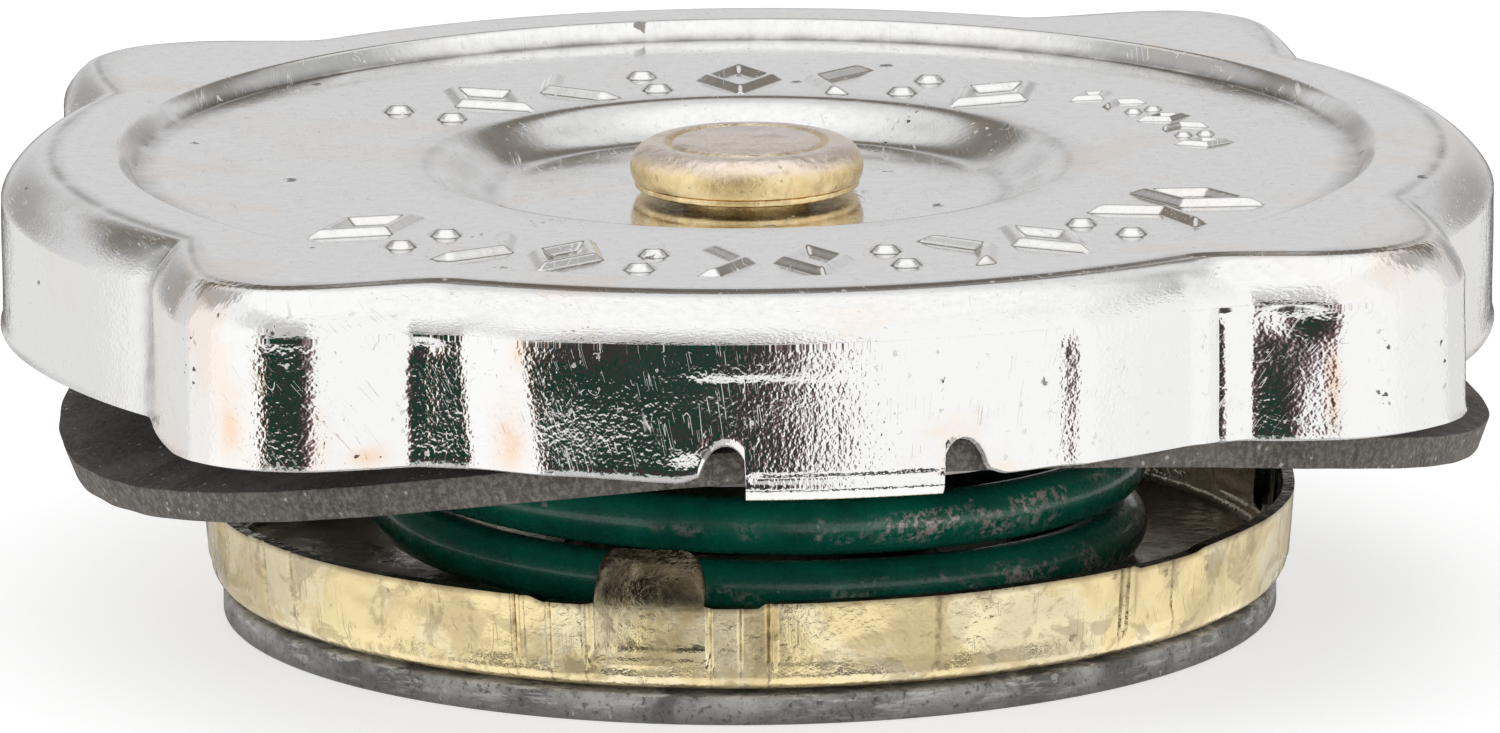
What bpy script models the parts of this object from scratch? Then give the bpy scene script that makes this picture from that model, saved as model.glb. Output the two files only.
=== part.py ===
"""Radiator cap: a pressed shell with two bayonet lugs, a bowed neck gasket, and a sprung pressure
valve that carries a small vacuum valve.

Run in Blender 4.5 with: blender --background --python part.py
Units are metres and +Z is up. The origin lies on the cap's axis at the underside of the pressure
seal, where the cap stands. The lugs point to -Y and +Y, and angles are counted from the -Y lug
towards +X.
"""

import math

import bmesh
import bpy
from mathutils import Matrix

# Fits
SEAT_GAP = 0.00025
RUNNING_GAP = 0.0001

# Whole cap, from the standing plane to the land round the centre plate
CAP_HEIGHT = 0.0185

# Shell: one pressed sheet, round with four ears; angles are counted from the nearer lug
SHELL_SHEET = 0.0005
BODY_RADIUS = 0.02925
LAND_RADIUS = 0.02705
SKIRT_DEPTH = 0.00682
SKIRT_FLARE = 0.00012
SKIRT_RUNOUT = 0.0001
SHOULDER_DROP = 0.0017
FLANK_START, FLANK_END, FLANK_RISE = 16.0, 38.0, 0.0018
CORNER_START, CORNER_FULL, CORNER_RISE = 36.5, 44.0, 0.0024
EAR_FADE_START, EAR_FADE_END = 45.5, 60.5
EAR_LAND_START, EAR_LAND_RISE = 31.0, 0.0046
STEP_RADIUS = 0.0249
STEP_WIDTH = 0.0010
STEP_DEPTH = 0.0007
DISH_RADIUS = 0.0116
DISH_FLOOR_RADIUS = 0.0098
DISH_DEPTH = 0.00195

# Bayonet lugs and the relief notches beside them
LUG_HALF_ANGLE = 7.4
LUG_DEPTH = 0.0078
LUG_BEND = 0.0006
TONGUE_LENGTH = 0.0032
NOTCH_ANGLE = 4.4
NOTCH_TOP_DEPTH = 0.0055
NOTCH_LIP = 0.00015
NOTCH_CURL = 0.0003

# Rivet that carries everything on the axis
RIVET_HEAD_RADIUS = 0.00458
RIVET_CROWN = 0.0001
RIVET_ROUND = 0.0008
RIVET_FOOT_ROUND = 0.0003
RIVET_RING_RADIUS = 0.00307
RIVET_RING_DEPTH = 0.00012
RIVET_SHANK_RADIUS = 0.0025
RIVET_TAIL_RADIUS = 0.0033
RIVET_TAIL_HEIGHT = 0.0005
TAIL_WASHER_RADIUS = 0.0043
TAIL_WASHER_THICKNESS = 0.00045

# Neck gasket and the leaf above it, bowed over the lugs
GASKET_CLEARANCE = 0.00095
GASKET_HOLE_RADIUS = 0.0060
GASKET_THICKNESS = 0.00125
GASKET_SHIFT = 0.0010
GASKET_TURN = 2.7
BOW_RADIUS = 0.0760
LEAF_RADIUS = 0.0215
LEAF_THICKNESS = 0.0005
COLLAR_RADIUS = 0.0042

# Spring seat and bell, the carrier of the valves
SEAT_RADIUS = 0.0170
SEAT_DOME_RADIUS = 0.0110
SEAT_WALL_RUN = 0.0010
SEAT_SHEET = 0.0005
BELL_RADIUS = 0.00895
BELL_FLAT_RADIUS = 0.0060
BELL_SHEET = 0.0004
BELL_LIP_CLEARANCE = 0.0005
BELL_WINDOWS = 3
BELL_WINDOW_WIDTH = 0.0060
BELL_WINDOW_SHARE = 0.3

# Pressure spring, with its end turns ground flat
SPRING_MEAN_RADIUS = 0.01425
SPRING_SHIFT = 0.0003
SPRING_WIRE = 0.00225
SPRING_COIL_GAP = 0.00025
SPRING_GRIND = 0.0007
SPRING_TOP_ANGLE = 137.4

# Valve cup with three tabs and three crimps
CUP_RADIUS = 0.0215
CUP_SHEET = 0.00045
CUP_HEIGHT = 0.00356
CUP_CORNER = 0.0008
CUP_BASE_RISE = 0.0010
TAB_COUNT = 3
TAB_ANGLE = -18.2
TAB_HALF_ANGLE = 5.85
TAB_RISE = 0.0019
TAB_LEAN = 0.0005
TAB_PRESS = 0.00035
CRIMP_HALF_ANGLE = 4.5
CRIMP_PRESS = 0.0002
RIM_NOTCH_DEPTH = 0.0002
RIM_NOTCH_HALF_ANGLE = 12.3

# Pressure seal
SEAL_RADIUS = 0.02075
SEAL_THICKNESS = 0.00116
SEAL_WEB_RADIUS = 0.0135
SEAL_WEB_THICKNESS = 0.0005
SEAL_ROUND = 0.0002

# Valve spool: clamps the seal to the cup, hangs in the bell and seats the vacuum valve
SPOOL_FOOT = 0.0001
SPOOL_RIM_CLEARANCE = 0.00055
SPOOL_RIM_WIDTH = 0.0014
SPOOL_RIM_HEIGHT = 0.0004
SPOOL_WALL = 0.00055
SPOOL_FLANGE_RADIUS = 0.0127
SPOOL_BEAD_WIDTH = 0.0008
SPOOL_BEAD_HEIGHT = 0.0004
SHOULDER_THICKNESS = 0.0003
SHOULDER_WIDTH = 0.00065

# Guide disc pressed into the spool: guides the vacuum stem and is its valve's seat
GUIDE_THICKNESS = 0.0004
FLOW_HOLES = 6
FLOW_HOLE_RADIUS = 0.0008
FLOW_CIRCLE_SHARE = 0.58

# Vacuum valve
STEM_RADIUS = 0.0009
STEM_HEAD_RADIUS = 0.0016
STEM_HEAD_HEIGHT = 0.0004
STEM_TIP_RADIUS = 0.0014
STEM_TIP_HEIGHT = 0.0003
VACUUM_DISC_CLEARANCE = 0.0002
VACUUM_DISC_THICKNESS = 0.0004
VACUUM_SEAL_CLEARANCE = 0.0004
VACUUM_SEAL_THICKNESS = 0.00045
VACUUM_SPRING_RADIUS = 0.0019
VACUUM_SPRING_WIRE = 0.0003
VACUUM_SPRING_TURNS = 2.25
CLIP_RADIUS = 0.0025
CLIP_THICKNESS = 0.0004

# The spool's rim stands at this share of the room between the cup's floor and the rivet's tail
SPOOL_RIM_SHARE = 0.405
# The shoulder's height and the vacuum spring's length, as shares of what the stacked parts leave free
SHOULDER_SHARE = 0.2364
VACUUM_SPRING_SHARE = 0.5474

# Facets round a full turn
FINE, MEDIUM, COARSE = 56, 32, 20

# Levels that follow from the sizes, from the top plane down to the spring seat
plate_top = CAP_HEIGHT - STEP_DEPTH
dish_top = CAP_HEIGHT - DISH_DEPTH
dish_under = dish_top - SHELL_SHEET
skirt_bottom = CAP_HEIGHT - SKIRT_DEPTH
lug_bottom = CAP_HEIGHT - LUG_DEPTH
gasket_under = lug_bottom + SHELL_SHEET + SEAT_GAP
leaf_under = gasket_under + GASKET_THICKNESS + SEAT_GAP
collar_bottom = leaf_under + LEAF_THICKNESS + SEAT_GAP
collar_top = dish_under - SEAT_GAP
shank_hole = RIVET_SHANK_RADIUS + RUNNING_GAP
gasket_radius = BODY_RADIUS - GASKET_CLEARANCE


def seat_top(radius):
    """Height of the spring seat's upper face, which stays clear of the bowed gasket all round."""
    reach = radius + GASKET_SHIFT
    return gasket_under - SEAT_GAP - BOW_RADIUS + math.sqrt(BOW_RADIUS**2 - reach**2)


seat_flange_top = seat_top(SEAT_RADIUS)
seat_flange_under = seat_flange_top - SEAT_SHEET
bell_top = seat_top(BELL_FLAT_RADIUS) - SEAT_SHEET - SEAT_GAP
tail_washer_top = bell_top - BELL_SHEET - SEAT_GAP
tail_top = tail_washer_top - TAIL_WASHER_THICKNESS - SEAT_GAP
tail_bottom = tail_top - RIVET_TAIL_HEIGHT

# Levels from the standing plane up to the stem's tip
cup_base = SEAL_THICKNESS + SEAT_GAP
cup_floor = cup_base + CUP_SHEET
cup_rim = cup_base + CUP_HEIGHT
spool_flange_top = SEAL_THICKNESS - SEAL_WEB_THICKNESS - SEAT_GAP
bead_bottom = cup_floor + SEAT_GAP
valve_room = tail_bottom - cup_floor
stacked = SHOULDER_THICKNESS + GUIDE_THICKNESS + CLIP_THICKNESS + STEM_TIP_HEIGHT + 4 * SEAT_GAP
free_height = valve_room - stacked
vacuum_spring_length = VACUUM_SPRING_SHARE * free_height
shoulder_under = cup_floor + SHOULDER_SHARE * free_height
shoulder_top = shoulder_under + SHOULDER_THICKNESS
guide_under = shoulder_top + SEAT_GAP
guide_top = guide_under + GUIDE_THICKNESS
spool_rim_under = cup_floor + SPOOL_RIM_SHARE * valve_room
spool_top = spool_rim_under + SPOOL_RIM_HEIGHT
bell_lip_top = spool_rim_under - SEAT_GAP
spring_bottom = cup_floor + SEAT_GAP
spring_top = seat_flange_under - SEAT_GAP
vacuum_seal_top = guide_under - SEAT_GAP
vacuum_disc_top = vacuum_seal_top - VACUUM_SEAL_THICKNESS - SEAT_GAP
stem_head_top = vacuum_disc_top - VACUUM_DISC_THICKNESS - SEAT_GAP
vacuum_spring_bottom = guide_top + SEAT_GAP
clip_under = vacuum_spring_bottom + vacuum_spring_length + SEAT_GAP
stem_tip_under = clip_under + CLIP_THICKNESS + SEAT_GAP

# Radii inside the bell, from its wall inwards
spool_rim_radius = BELL_RADIUS - BELL_SHEET - SPOOL_RIM_CLEARANCE
spool_radius = spool_rim_radius - SPOOL_RIM_WIDTH
spool_bore = spool_radius - SPOOL_WALL
bell_lip_radius = spool_radius + BELL_LIP_CLEARANCE
bead_radius = spool_radius + SPOOL_BEAD_WIDTH
shoulder_bore = spool_bore - SHOULDER_WIDTH
vacuum_disc_radius = shoulder_bore - VACUUM_DISC_CLEARANCE
vacuum_seal_radius = shoulder_bore - VACUUM_SEAL_CLEARANCE
stem_hole = STEM_RADIUS + RUNNING_GAP


def smooth_step(start, end, value):
    """0 before start, 1 after end, and an S-shaped rise between them."""
    share = min(max((value - start) / (end - start), 0.0), 1.0)
    return share * share * (3 - 2 * share)


def arc(centre, radius, start_deg, end_deg, steps):
    """Points (radius, height) along a round stretch of a turned outline."""
    angles = [start_deg + (end_deg - start_deg) * i / steps for i in range(steps + 1)]
    return [
        (centre[0] + radius * math.cos(math.radians(a)), centre[1] + radius * math.sin(math.radians(a)))
        for a in angles
    ]


def sheet_outline(path, thickness):
    """Closed outline of a sheet whose one face follows path; the wall lies to the path's right."""
    inner = []
    for i, (r, z) in enumerate(path):
        before = path[max(i - 1, 0)]
        after = path[min(i + 1, len(path) - 1)]
        sides = []
        for start, end in ((before, (r, z)), ((r, z), after)):
            length = math.hypot(end[0] - start[0], end[1] - start[1])
            if length > 0:
                sides.append(((end[1] - start[1]) / length, -(end[0] - start[0]) / length))
        normal = [sum(side[k] for side in sides) for k in (0, 1)]
        size = math.hypot(*normal)
        normal = [n / size for n in normal]
        reach = thickness / (normal[0] * sides[0][0] + normal[1] * sides[0][1])
        inner.append((r + normal[0] * reach, z + normal[1] * reach))
    return path + inner[::-1]


def material(name, colour, metallic, roughness):
    """A plain Principled material."""
    made = bpy.data.materials.new(name)
    made.use_nodes = True
    shader = made.node_tree.nodes["Principled BSDF"]
    shader.inputs["Base Color"].default_value = (*colour, 1.0)
    shader.inputs["Metallic"].default_value = metallic
    shader.inputs["Roughness"].default_value = roughness
    made.diffuse_color = (*colour, 1.0)
    return made


def make_object(name, shape, finish, carrier=None, sharp_deg=35):
    """Turns a bmesh into a smooth-shaded object with one material, on its carrier."""
    mesh = bpy.data.meshes.new(name)
    shape.to_mesh(mesh)
    shape.free()
    mesh.materials.append(finish)
    mesh.shade_smooth()
    mesh.set_sharp_from_angle(angle=math.radians(sharp_deg))
    made = bpy.data.objects.new(name, mesh)
    bpy.context.scene.collection.objects.link(made)
    made.parent = carrier
    return made


def turned(outline, segments):
    """Spins an outline of (radius, height) points about Z. One that starts on the axis ends there."""
    shape = bmesh.new()
    verts = [shape.verts.new((r, 0, z)) for r, z in outline]
    on_axis = outline[0][0] == 0
    pairs = zip(verts, verts[1:] if on_axis else verts[1:] + verts[:1])
    edges = [shape.edges.new(pair) for pair in pairs]
    bmesh.ops.spin(
        shape, geom=verts + edges, cent=(0, 0, 0), axis=(0, 0, 1),
        angle=2 * math.pi, steps=segments, use_merge=True,
    )
    bmesh.ops.remove_doubles(shape, verts=shape.verts, dist=1e-7)
    bmesh.ops.recalc_face_normals(shape, faces=shape.faces)
    return shape


def polar(angle_deg, radius, height):
    """Point at an angle counted from the -Y lug towards +X."""
    angle = math.radians(angle_deg)
    return (radius * math.sin(angle), -radius * math.cos(angle), height)


def add_columns(shape, angles, rows_at, extra_at):
    """Faces of a closed ring of columns. A column with extra rows is joined to a neighbour's extras."""
    columns = []
    for angle in angles:
        points = rows_at(angle) + extra_at(angle)
        columns.append([shape.verts.new(polar(angle, r, z)) for r, z in points])
    for left, right in zip(columns, columns[1:] + columns[:1]):
        for i in range(min(len(left), len(right)) - 1):
            shape.faces.new((left[i], left[i + 1], right[i + 1], right[i]))
    return columns


def thicken(target, thickness):
    """Gives a sheet its wall on the side away from its normals."""
    wall = target.modifiers.new("wall", "SOLIDIFY")
    wall.thickness = thickness
    wall.offset = -1
    wall.use_even_offset = True


def cut(target, cutter, operation="DIFFERENCE"):
    """Boolean with a hidden cutter object."""
    cutter.hide_render = True
    cutter.display_type = "WIRE"
    hole = target.modifiers.new("cut_" + cutter.name, "BOOLEAN")
    hole.operation = operation
    hole.solver = "EXACT"
    hole.object = cutter


def from_lug(angle):
    """Angle to the nearer lug, 0 to 90 degrees."""
    return round(abs((angle + 90) % 180 - 90), 6)


def ear_fade(away):
    """1 up to the ear's corner and 0 past its far side."""
    return 1 - smooth_step(EAR_FADE_START, EAR_FADE_END, away)


def wall_radius(angle):
    """Outer radius of the skirt: round, with four ears."""
    away = from_lug(angle)
    flank = FLANK_RISE * smooth_step(FLANK_START, FLANK_END, away)
    corner = CORNER_RISE * smooth_step(CORNER_START, CORNER_FULL, away)
    return BODY_RADIUS + (flank + corner) * ear_fade(away)


def land_radius(angle):
    """Radius where the flat land turns into the shoulder."""
    away = from_lug(angle)
    return LAND_RADIUS + EAR_LAND_RISE * smooth_step(EAR_LAND_START, CORNER_FULL, away) * ear_fade(away)


def skirt_edge(angle):
    """Height of the skirt's raw edge: notched beside each lug, with a lip past the notch."""
    past_lug = (from_lug(angle) - LUG_HALF_ANGLE) / NOTCH_ANGLE
    notch_top = CAP_HEIGHT - NOTCH_TOP_DEPTH
    low = skirt_bottom - SKIRT_RUNOUT * math.sin(math.radians(angle))
    low -= NOTCH_LIP * (1 - smooth_step(1, 3, past_lug))
    corner = 0.12 * (notch_top - low) * (1 - smooth_step(0, 0.25, past_lug))
    return notch_top - corner - (notch_top - low) * smooth_step(0.5, 1.05, past_lug)


def shell_rows(angle):
    """Outer face of the shell from the step round the centre plate to the skirt's edge."""
    land, wall = land_radius(angle), wall_radius(angle)
    on_lug = from_lug(angle) <= LUG_HALF_ANGLE
    rows = []
    for share in (0.0, 0.35, 0.75, 1.0):
        radius = STEP_RADIUS + STEP_WIDTH * (share - 1)
        rows.append((radius, plate_top + STEP_DEPTH * smooth_step(0, 1, share)))
    for turn in (0, 24, 48, 70, 90):
        side, drop = math.sin(math.radians(turn)), 1 - math.cos(math.radians(turn))
        rows.append((land + (wall - land) * side, CAP_HEIGHT - SHOULDER_DROP * drop))
    past_notch = (from_lug(angle) - LUG_HALF_ANGLE) / NOTCH_ANGLE
    curl = 0 if on_lug else NOTCH_CURL * (1 - smooth_step(1, 3, past_notch))
    rows.append((wall + 0.6 * SKIRT_FLARE, CAP_HEIGHT - NOTCH_TOP_DEPTH + LUG_BEND))
    edge = lug_bottom + LUG_BEND if on_lug else skirt_edge(angle)
    rows.append((wall + SKIRT_FLARE + curl, edge))
    return rows


def tongue_rows(angle):
    """Bend and tongue of a lug, under the skirt's edge."""
    if from_lug(angle) > LUG_HALF_ANGLE:
        return []
    outer = wall_radius(angle) + SKIRT_FLARE
    bend = arc((outer - LUG_BEND, lug_bottom + LUG_BEND), LUG_BEND, -30, -90, 2)
    return bend + [(outer - TONGUE_LENGTH, lug_bottom)]


def shell_angles():
    """Column angles of the shell, close together at the lugs and the ears."""
    notch = [LUG_HALF_ANGLE + NOTCH_ANGLE * share for share in (0.1, 0.3, 0.5, 0.65, 0.8, 1.0, 1.5)]
    flank = [20, 26, 32, CORNER_START]
    ear_steps = 9
    ear_width = EAR_FADE_END - CORNER_START
    ear = [CORNER_START + ear_width * i / ear_steps for i in range(1, ear_steps + 1)]
    quarter = [0, 0.5 * LUG_HALF_ANGLE, LUG_HALF_ANGLE] + notch + flank + ear + [75]
    half = quarter + [90] + [180 - a for a in reversed(quarter[1:])]
    return half + [180 + a for a in half]


def build_shell(finish):
    shape = bmesh.new()
    columns = add_columns(shape, shell_angles(), shell_rows, tongue_rows)
    round_in = 0.35 * (DISH_RADIUS - DISH_FLOOR_RADIUS)
    depth = plate_top - dish_top
    dish = [
        (shank_hole, dish_top),
        (DISH_FLOOR_RADIUS - round_in, dish_top),
        (DISH_FLOOR_RADIUS, dish_top + 0.15 * depth),
        (DISH_RADIUS - round_in, plate_top - 0.2 * depth),
        (DISH_RADIUS, plate_top - 0.03 * depth),
        (DISH_RADIUS + round_in, plate_top),
    ]
    angles = [360 * i / MEDIUM for i in range(MEDIUM)]
    centre = add_columns(shape, angles, lambda angle: dish, lambda angle: [])
    rings = []
    for ring in ([column[0] for column in columns], [column[-1] for column in centre]):
        rings += [shape.edges.get(pair) for pair in zip(ring, ring[1:] + ring[:1])]
    bmesh.ops.bridge_loops(shape, edges=rings)
    bmesh.ops.recalc_face_normals(shape, faces=shape.faces)
    if max(shape.faces, key=lambda face: face.calc_center_median().z).normal.z < 0:
        bmesh.ops.reverse_faces(shape, faces=shape.faces)
    thicken(make_object("cap_shell", shape, finish), SHELL_SHEET)


def build_rivet(finish):
    top = CAP_HEIGHT + RIVET_CROWN
    foot = dish_top + SEAT_GAP
    ring_half = 0.8 * RIVET_RING_DEPTH
    head = [
        (0, top),
        (RIVET_RING_RADIUS - ring_half, top),
        (RIVET_RING_RADIUS, top - RIVET_RING_DEPTH),
        (RIVET_RING_RADIUS + ring_half, top),
    ]
    head += arc((RIVET_HEAD_RADIUS - RIVET_ROUND, top - RIVET_ROUND), RIVET_ROUND, 90, 0, 4)
    foot_centre = (RIVET_HEAD_RADIUS - RIVET_FOOT_ROUND, foot + RIVET_FOOT_ROUND)
    head += arc(foot_centre, RIVET_FOOT_ROUND, 0, -90, 2)
    tail = [
        (RIVET_SHANK_RADIUS, foot),
        (RIVET_SHANK_RADIUS, tail_top),
        (RIVET_TAIL_RADIUS, tail_top),
        (0.85 * RIVET_TAIL_RADIUS, tail_bottom),
        (0, tail_bottom),
    ]
    make_object("centre_rivet", turned(head + tail, MEDIUM), finish)


def ring_outline(inner, outer, bottom, top):
    """Outline of a flat washer."""
    return [(inner, bottom), (inner, top), (outer, top), (outer, bottom)]


def bowed_disc(outer_radius, hole_radius, centre_x, bottom, thickness, bend_radius, segments):
    """Flat disc bent over a line near the lugs' axis; its cut edges stay square to its faces."""
    shape = bmesh.new()
    shares = (0.0, 0.33, 0.67, 1.0)
    layers = []
    for layer in (0.0, thickness):
        grid = []
        for i in range(segments):
            turn = 2 * math.pi * i / segments
            column = []
            for share in shares:
                radius = hole_radius + (outer_radius - hole_radius) * share
                bend = (centre_x + radius * math.cos(turn) - GASKET_SHIFT) / bend_radius
                x = GASKET_SHIFT + (bend_radius + layer) * math.sin(bend)
                z = bottom + (bend_radius + layer) * math.cos(bend) - bend_radius
                column.append(shape.verts.new((x, radius * math.sin(turn), z)))
            grid.append(column)
        layers.append(grid)
    for i in range(segments):
        j = (i + 1) % segments
        for k in range(len(shares) - 1):
            for grid in layers:
                shape.faces.new((grid[i][k], grid[i][k + 1], grid[j][k + 1], grid[j][k]))
        low, high = layers
        for k in (0, -1):
            shape.faces.new((low[i][k], low[j][k], high[j][k], high[i][k]))
    turned_by = Matrix.Rotation(math.radians(GASKET_TURN), 3, "Z")
    bmesh.ops.rotate(shape, cent=(0, 0, 0), matrix=turned_by, verts=shape.verts)
    bmesh.ops.recalc_face_normals(shape, faces=shape.faces)
    return shape


def build_gasket_stack(rubber, steel):
    gasket = bowed_disc(
        gasket_radius, GASKET_HOLE_RADIUS, GASKET_SHIFT, gasket_under, GASKET_THICKNESS, BOW_RADIUS, FINE
    )
    make_object("neck_gasket", gasket, rubber)
    leaf_bend = BOW_RADIUS + GASKET_THICKNESS + SEAT_GAP
    leaf = bowed_disc(LEAF_RADIUS, shank_hole, 0, leaf_under, LEAF_THICKNESS, leaf_bend, MEDIUM)
    make_object("friction_spring", leaf, steel)
    collar = ring_outline(shank_hole, COLLAR_RADIUS, collar_bottom, collar_top)
    make_object("spacer_collar", turned(collar, MEDIUM), steel)
    washer_bottom = tail_washer_top - TAIL_WASHER_THICKNESS
    washer = ring_outline(shank_hole, TAIL_WASHER_RADIUS, washer_bottom, tail_washer_top)
    make_object("tail_washer", turned(washer, COARSE), steel)


def build_spring_seat(steel, carrier):
    """Hat-shaped pressing: a shallow dome under the gasket and a flat flange on the spring."""
    dome_steps = 3
    radii = [shank_hole + (SEAT_DOME_RADIUS - shank_hole) * i / dome_steps for i in range(dome_steps + 1)]
    path = [(r, seat_top(r)) for r in radii]
    path += [(SEAT_DOME_RADIUS + SEAT_WALL_RUN, seat_flange_top), (SEAT_RADIUS, seat_flange_top)]
    make_object("spring_seat", turned(sheet_outline(path, SEAT_SHEET), MEDIUM), steel, carrier)


def build_bell(steel, carrier):
    """Deep-drawn cage on the rivet, turned in at its mouth under the spool's rim."""
    corner = BELL_RADIUS - BELL_FLAT_RADIUS
    mouth = bell_lip_top - BELL_SHEET
    lip_round = BELL_SHEET + SEAT_GAP
    path = [(shank_hole, bell_top)]
    path += arc((BELL_FLAT_RADIUS, bell_top - corner), corner, 90, 0, 3)
    path += arc((BELL_RADIUS - lip_round, mouth + lip_round), lip_round, 0, -90, 2)
    path += [(bell_lip_radius, mouth)]
    bell = make_object("bell_housing", turned(sheet_outline(path, BELL_SHEET), MEDIUM), steel, carrier)
    windows = bmesh.new()
    window_height = BELL_WINDOW_SHARE * (bell_top - bell_lip_top)
    window_middle = bell_lip_top + lip_round + window_height
    for i in range(BELL_WINDOWS):
        made = bmesh.ops.create_cube(windows, size=1)["verts"]
        size = (BELL_WINDOW_WIDTH, 2 * (BELL_RADIUS - bell_lip_radius), window_height)
        bmesh.ops.scale(windows, vec=size, verts=made)
        turn = Matrix.Rotation(2 * math.pi * (i + 0.5) / BELL_WINDOWS, 3, "Z")
        bmesh.ops.translate(windows, vec=(0, -BELL_RADIUS, window_middle), verts=made)
        bmesh.ops.rotate(windows, cent=(0, 0, 0), matrix=turn, verts=made)
    cut(bell, make_object("bell_window_cutter", windows, steel))


def coil(mean_radius, wire, bottom, rise, top_angle, turns, sides, steps_per_turn):
    """Round wire wound left-handed; its top end lies at an angle counted as the lugs' angles are."""
    shape = bmesh.new()
    count = math.ceil(turns * steps_per_turn)
    rings = []
    for i in range(count + 1):
        share = i / count
        angle = top_angle + 360 * turns * (1 - share)
        ring = []
        for k in range(sides):
            around = 2 * math.pi * k / sides
            radius = mean_radius + 0.5 * wire * math.cos(around)
            height = bottom + rise * share + 0.5 * wire * math.sin(around)
            ring.append(shape.verts.new(polar(angle, radius, height)))
        rings.append(ring)
    for low, high in zip(rings, rings[1:]):
        for k in range(sides):
            n = (k + 1) % sides
            shape.faces.new((low[k], low[n], high[n], high[k]))
    shape.faces.new(rings[0])
    shape.faces.new(rings[-1])
    bmesh.ops.recalc_face_normals(shape, faces=shape.faces)
    return shape


def build_pressure_spring(enamel, carrier):
    """Coil whose end turns are ground flat between the cup's floor and the seat."""
    rise = spring_top - spring_bottom - SPRING_WIRE + 2 * SPRING_GRIND
    turns = rise / (SPRING_WIRE + SPRING_COIL_GAP)
    first = spring_bottom - SPRING_GRIND + 0.5 * SPRING_WIRE
    wire = coil(SPRING_MEAN_RADIUS, SPRING_WIRE, first, rise, SPRING_TOP_ANGLE, turns, 10, 26)
    bmesh.ops.translate(wire, vec=(SPRING_SHIFT, 0, 0), verts=wire.verts)
    spring = make_object("pressure_spring", wire, enamel, carrier, sharp_deg=50)
    outer = SPRING_MEAN_RADIUS + SPRING_WIRE
    slab = turned([(0, spring_bottom), (outer, spring_bottom), (outer, spring_top), (0, spring_top)], COARSE)
    cut(spring, make_object("spring_grinding_slab", slab, enamel), "INTERSECT")


def from_tab(angle):
    """Angle to the nearest tab of the cup, 0 to 60 degrees."""
    sector = 360 / TAB_COUNT
    return round(abs((angle - TAB_ANGLE + 0.5 * sector) % sector - 0.5 * sector), 6)


def cup_wall(angle, height):
    """Outer radius of the cup's wall: pushed in under each tab and at each crimp."""
    tab = 1 - smooth_step(TAB_HALF_ANGLE, TAB_HALF_ANGLE + 0.9, from_tab(angle))
    from_crimp = 180 / TAB_COUNT - from_tab(angle)
    crimp = 1 - smooth_step(CRIMP_HALF_ANGLE, CRIMP_HALF_ANGLE + 1.2, from_crimp)
    above_base = smooth_step(cup_base + CUP_BASE_RISE, cup_base + 1.6 * CUP_BASE_RISE, height)
    return CUP_RADIUS - above_base * (TAB_PRESS * tab + CRIMP_PRESS * crimp)


def cup_rows(angle):
    """Outer face of the cup from its centre hole over the floor and the wall to the rim."""
    corner = arc((CUP_RADIUS - CUP_CORNER, cup_base + CUP_CORNER), CUP_CORNER, -90, 0, 2)
    rows = [(spool_radius + SEAT_GAP, cup_base)] + corner
    near_tab = 1 - smooth_step(RIM_NOTCH_HALF_ANGLE - 1, RIM_NOTCH_HALF_ANGLE, from_tab(angle))
    from_crimp = 180 / TAB_COUNT - from_tab(angle)
    near_crimp = 1 - smooth_step(CRIMP_HALF_ANGLE, CRIMP_HALF_ANGLE + 1.2, from_crimp)
    rim = cup_rim - RIM_NOTCH_DEPTH * max(near_tab, near_crimp)
    for height in (cup_base + CUP_BASE_RISE, cup_base + 1.6 * CUP_BASE_RISE, rim):
        rows.append((cup_wall(angle, height), height))
    return rows


def tab_rows(angle):
    """A tab above the rim, with round corners, leaning in."""
    if from_tab(angle) > TAB_HALF_ANGLE:
        return []
    corner = smooth_step(0.6 * TAB_HALF_ANGLE, TAB_HALF_ANGLE, from_tab(angle))
    rise = (TAB_RISE + RIM_NOTCH_DEPTH) * (1 - 0.42 * corner * corner)
    foot = cup_rim - RIM_NOTCH_DEPTH
    wall = cup_wall(angle, foot)
    return [(wall - TAB_LEAN * share * share, foot + rise * share) for share in (0.35, 0.7, 1.0)]


def cup_angles():
    """Column angles of the cup, close together at the tabs and the crimps."""
    tab = [0, 0.4 * TAB_HALF_ANGLE, 0.7 * TAB_HALF_ANGLE, 0.88 * TAB_HALF_ANGLE, TAB_HALF_ANGLE]
    side = [TAB_HALF_ANGLE + 0.9, RIM_NOTCH_HALF_ANGLE - 1, RIM_NOTCH_HALF_ANGLE]
    middle = 180 / TAB_COUNT
    crimp = [middle - CRIMP_HALF_ANGLE - 1.2, middle - CRIMP_HALF_ANGLE, middle]
    plain_start, plain_end = side[-1], crimp[0]
    plain = [plain_start + (plain_end - plain_start) * i / 4 for i in range(1, 4)]
    half = tab + side + plain + crimp
    sector = [-a for a in reversed(half[1:-1])] + half
    return [TAB_ANGLE + 360 / TAB_COUNT * k + a for k in range(TAB_COUNT) for a in sector]


def build_valve_cup(brass, carrier):
    shape = bmesh.new()
    add_columns(shape, cup_angles(), cup_rows, tab_rows)
    bmesh.ops.recalc_face_normals(shape, faces=shape.faces)
    if min(shape.faces, key=lambda face: face.calc_center_median().z).normal.z > 0:
        bmesh.ops.reverse_faces(shape, faces=shape.faces)
    thicken(make_object("valve_cup", shape, brass, carrier), CUP_SHEET)


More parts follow.
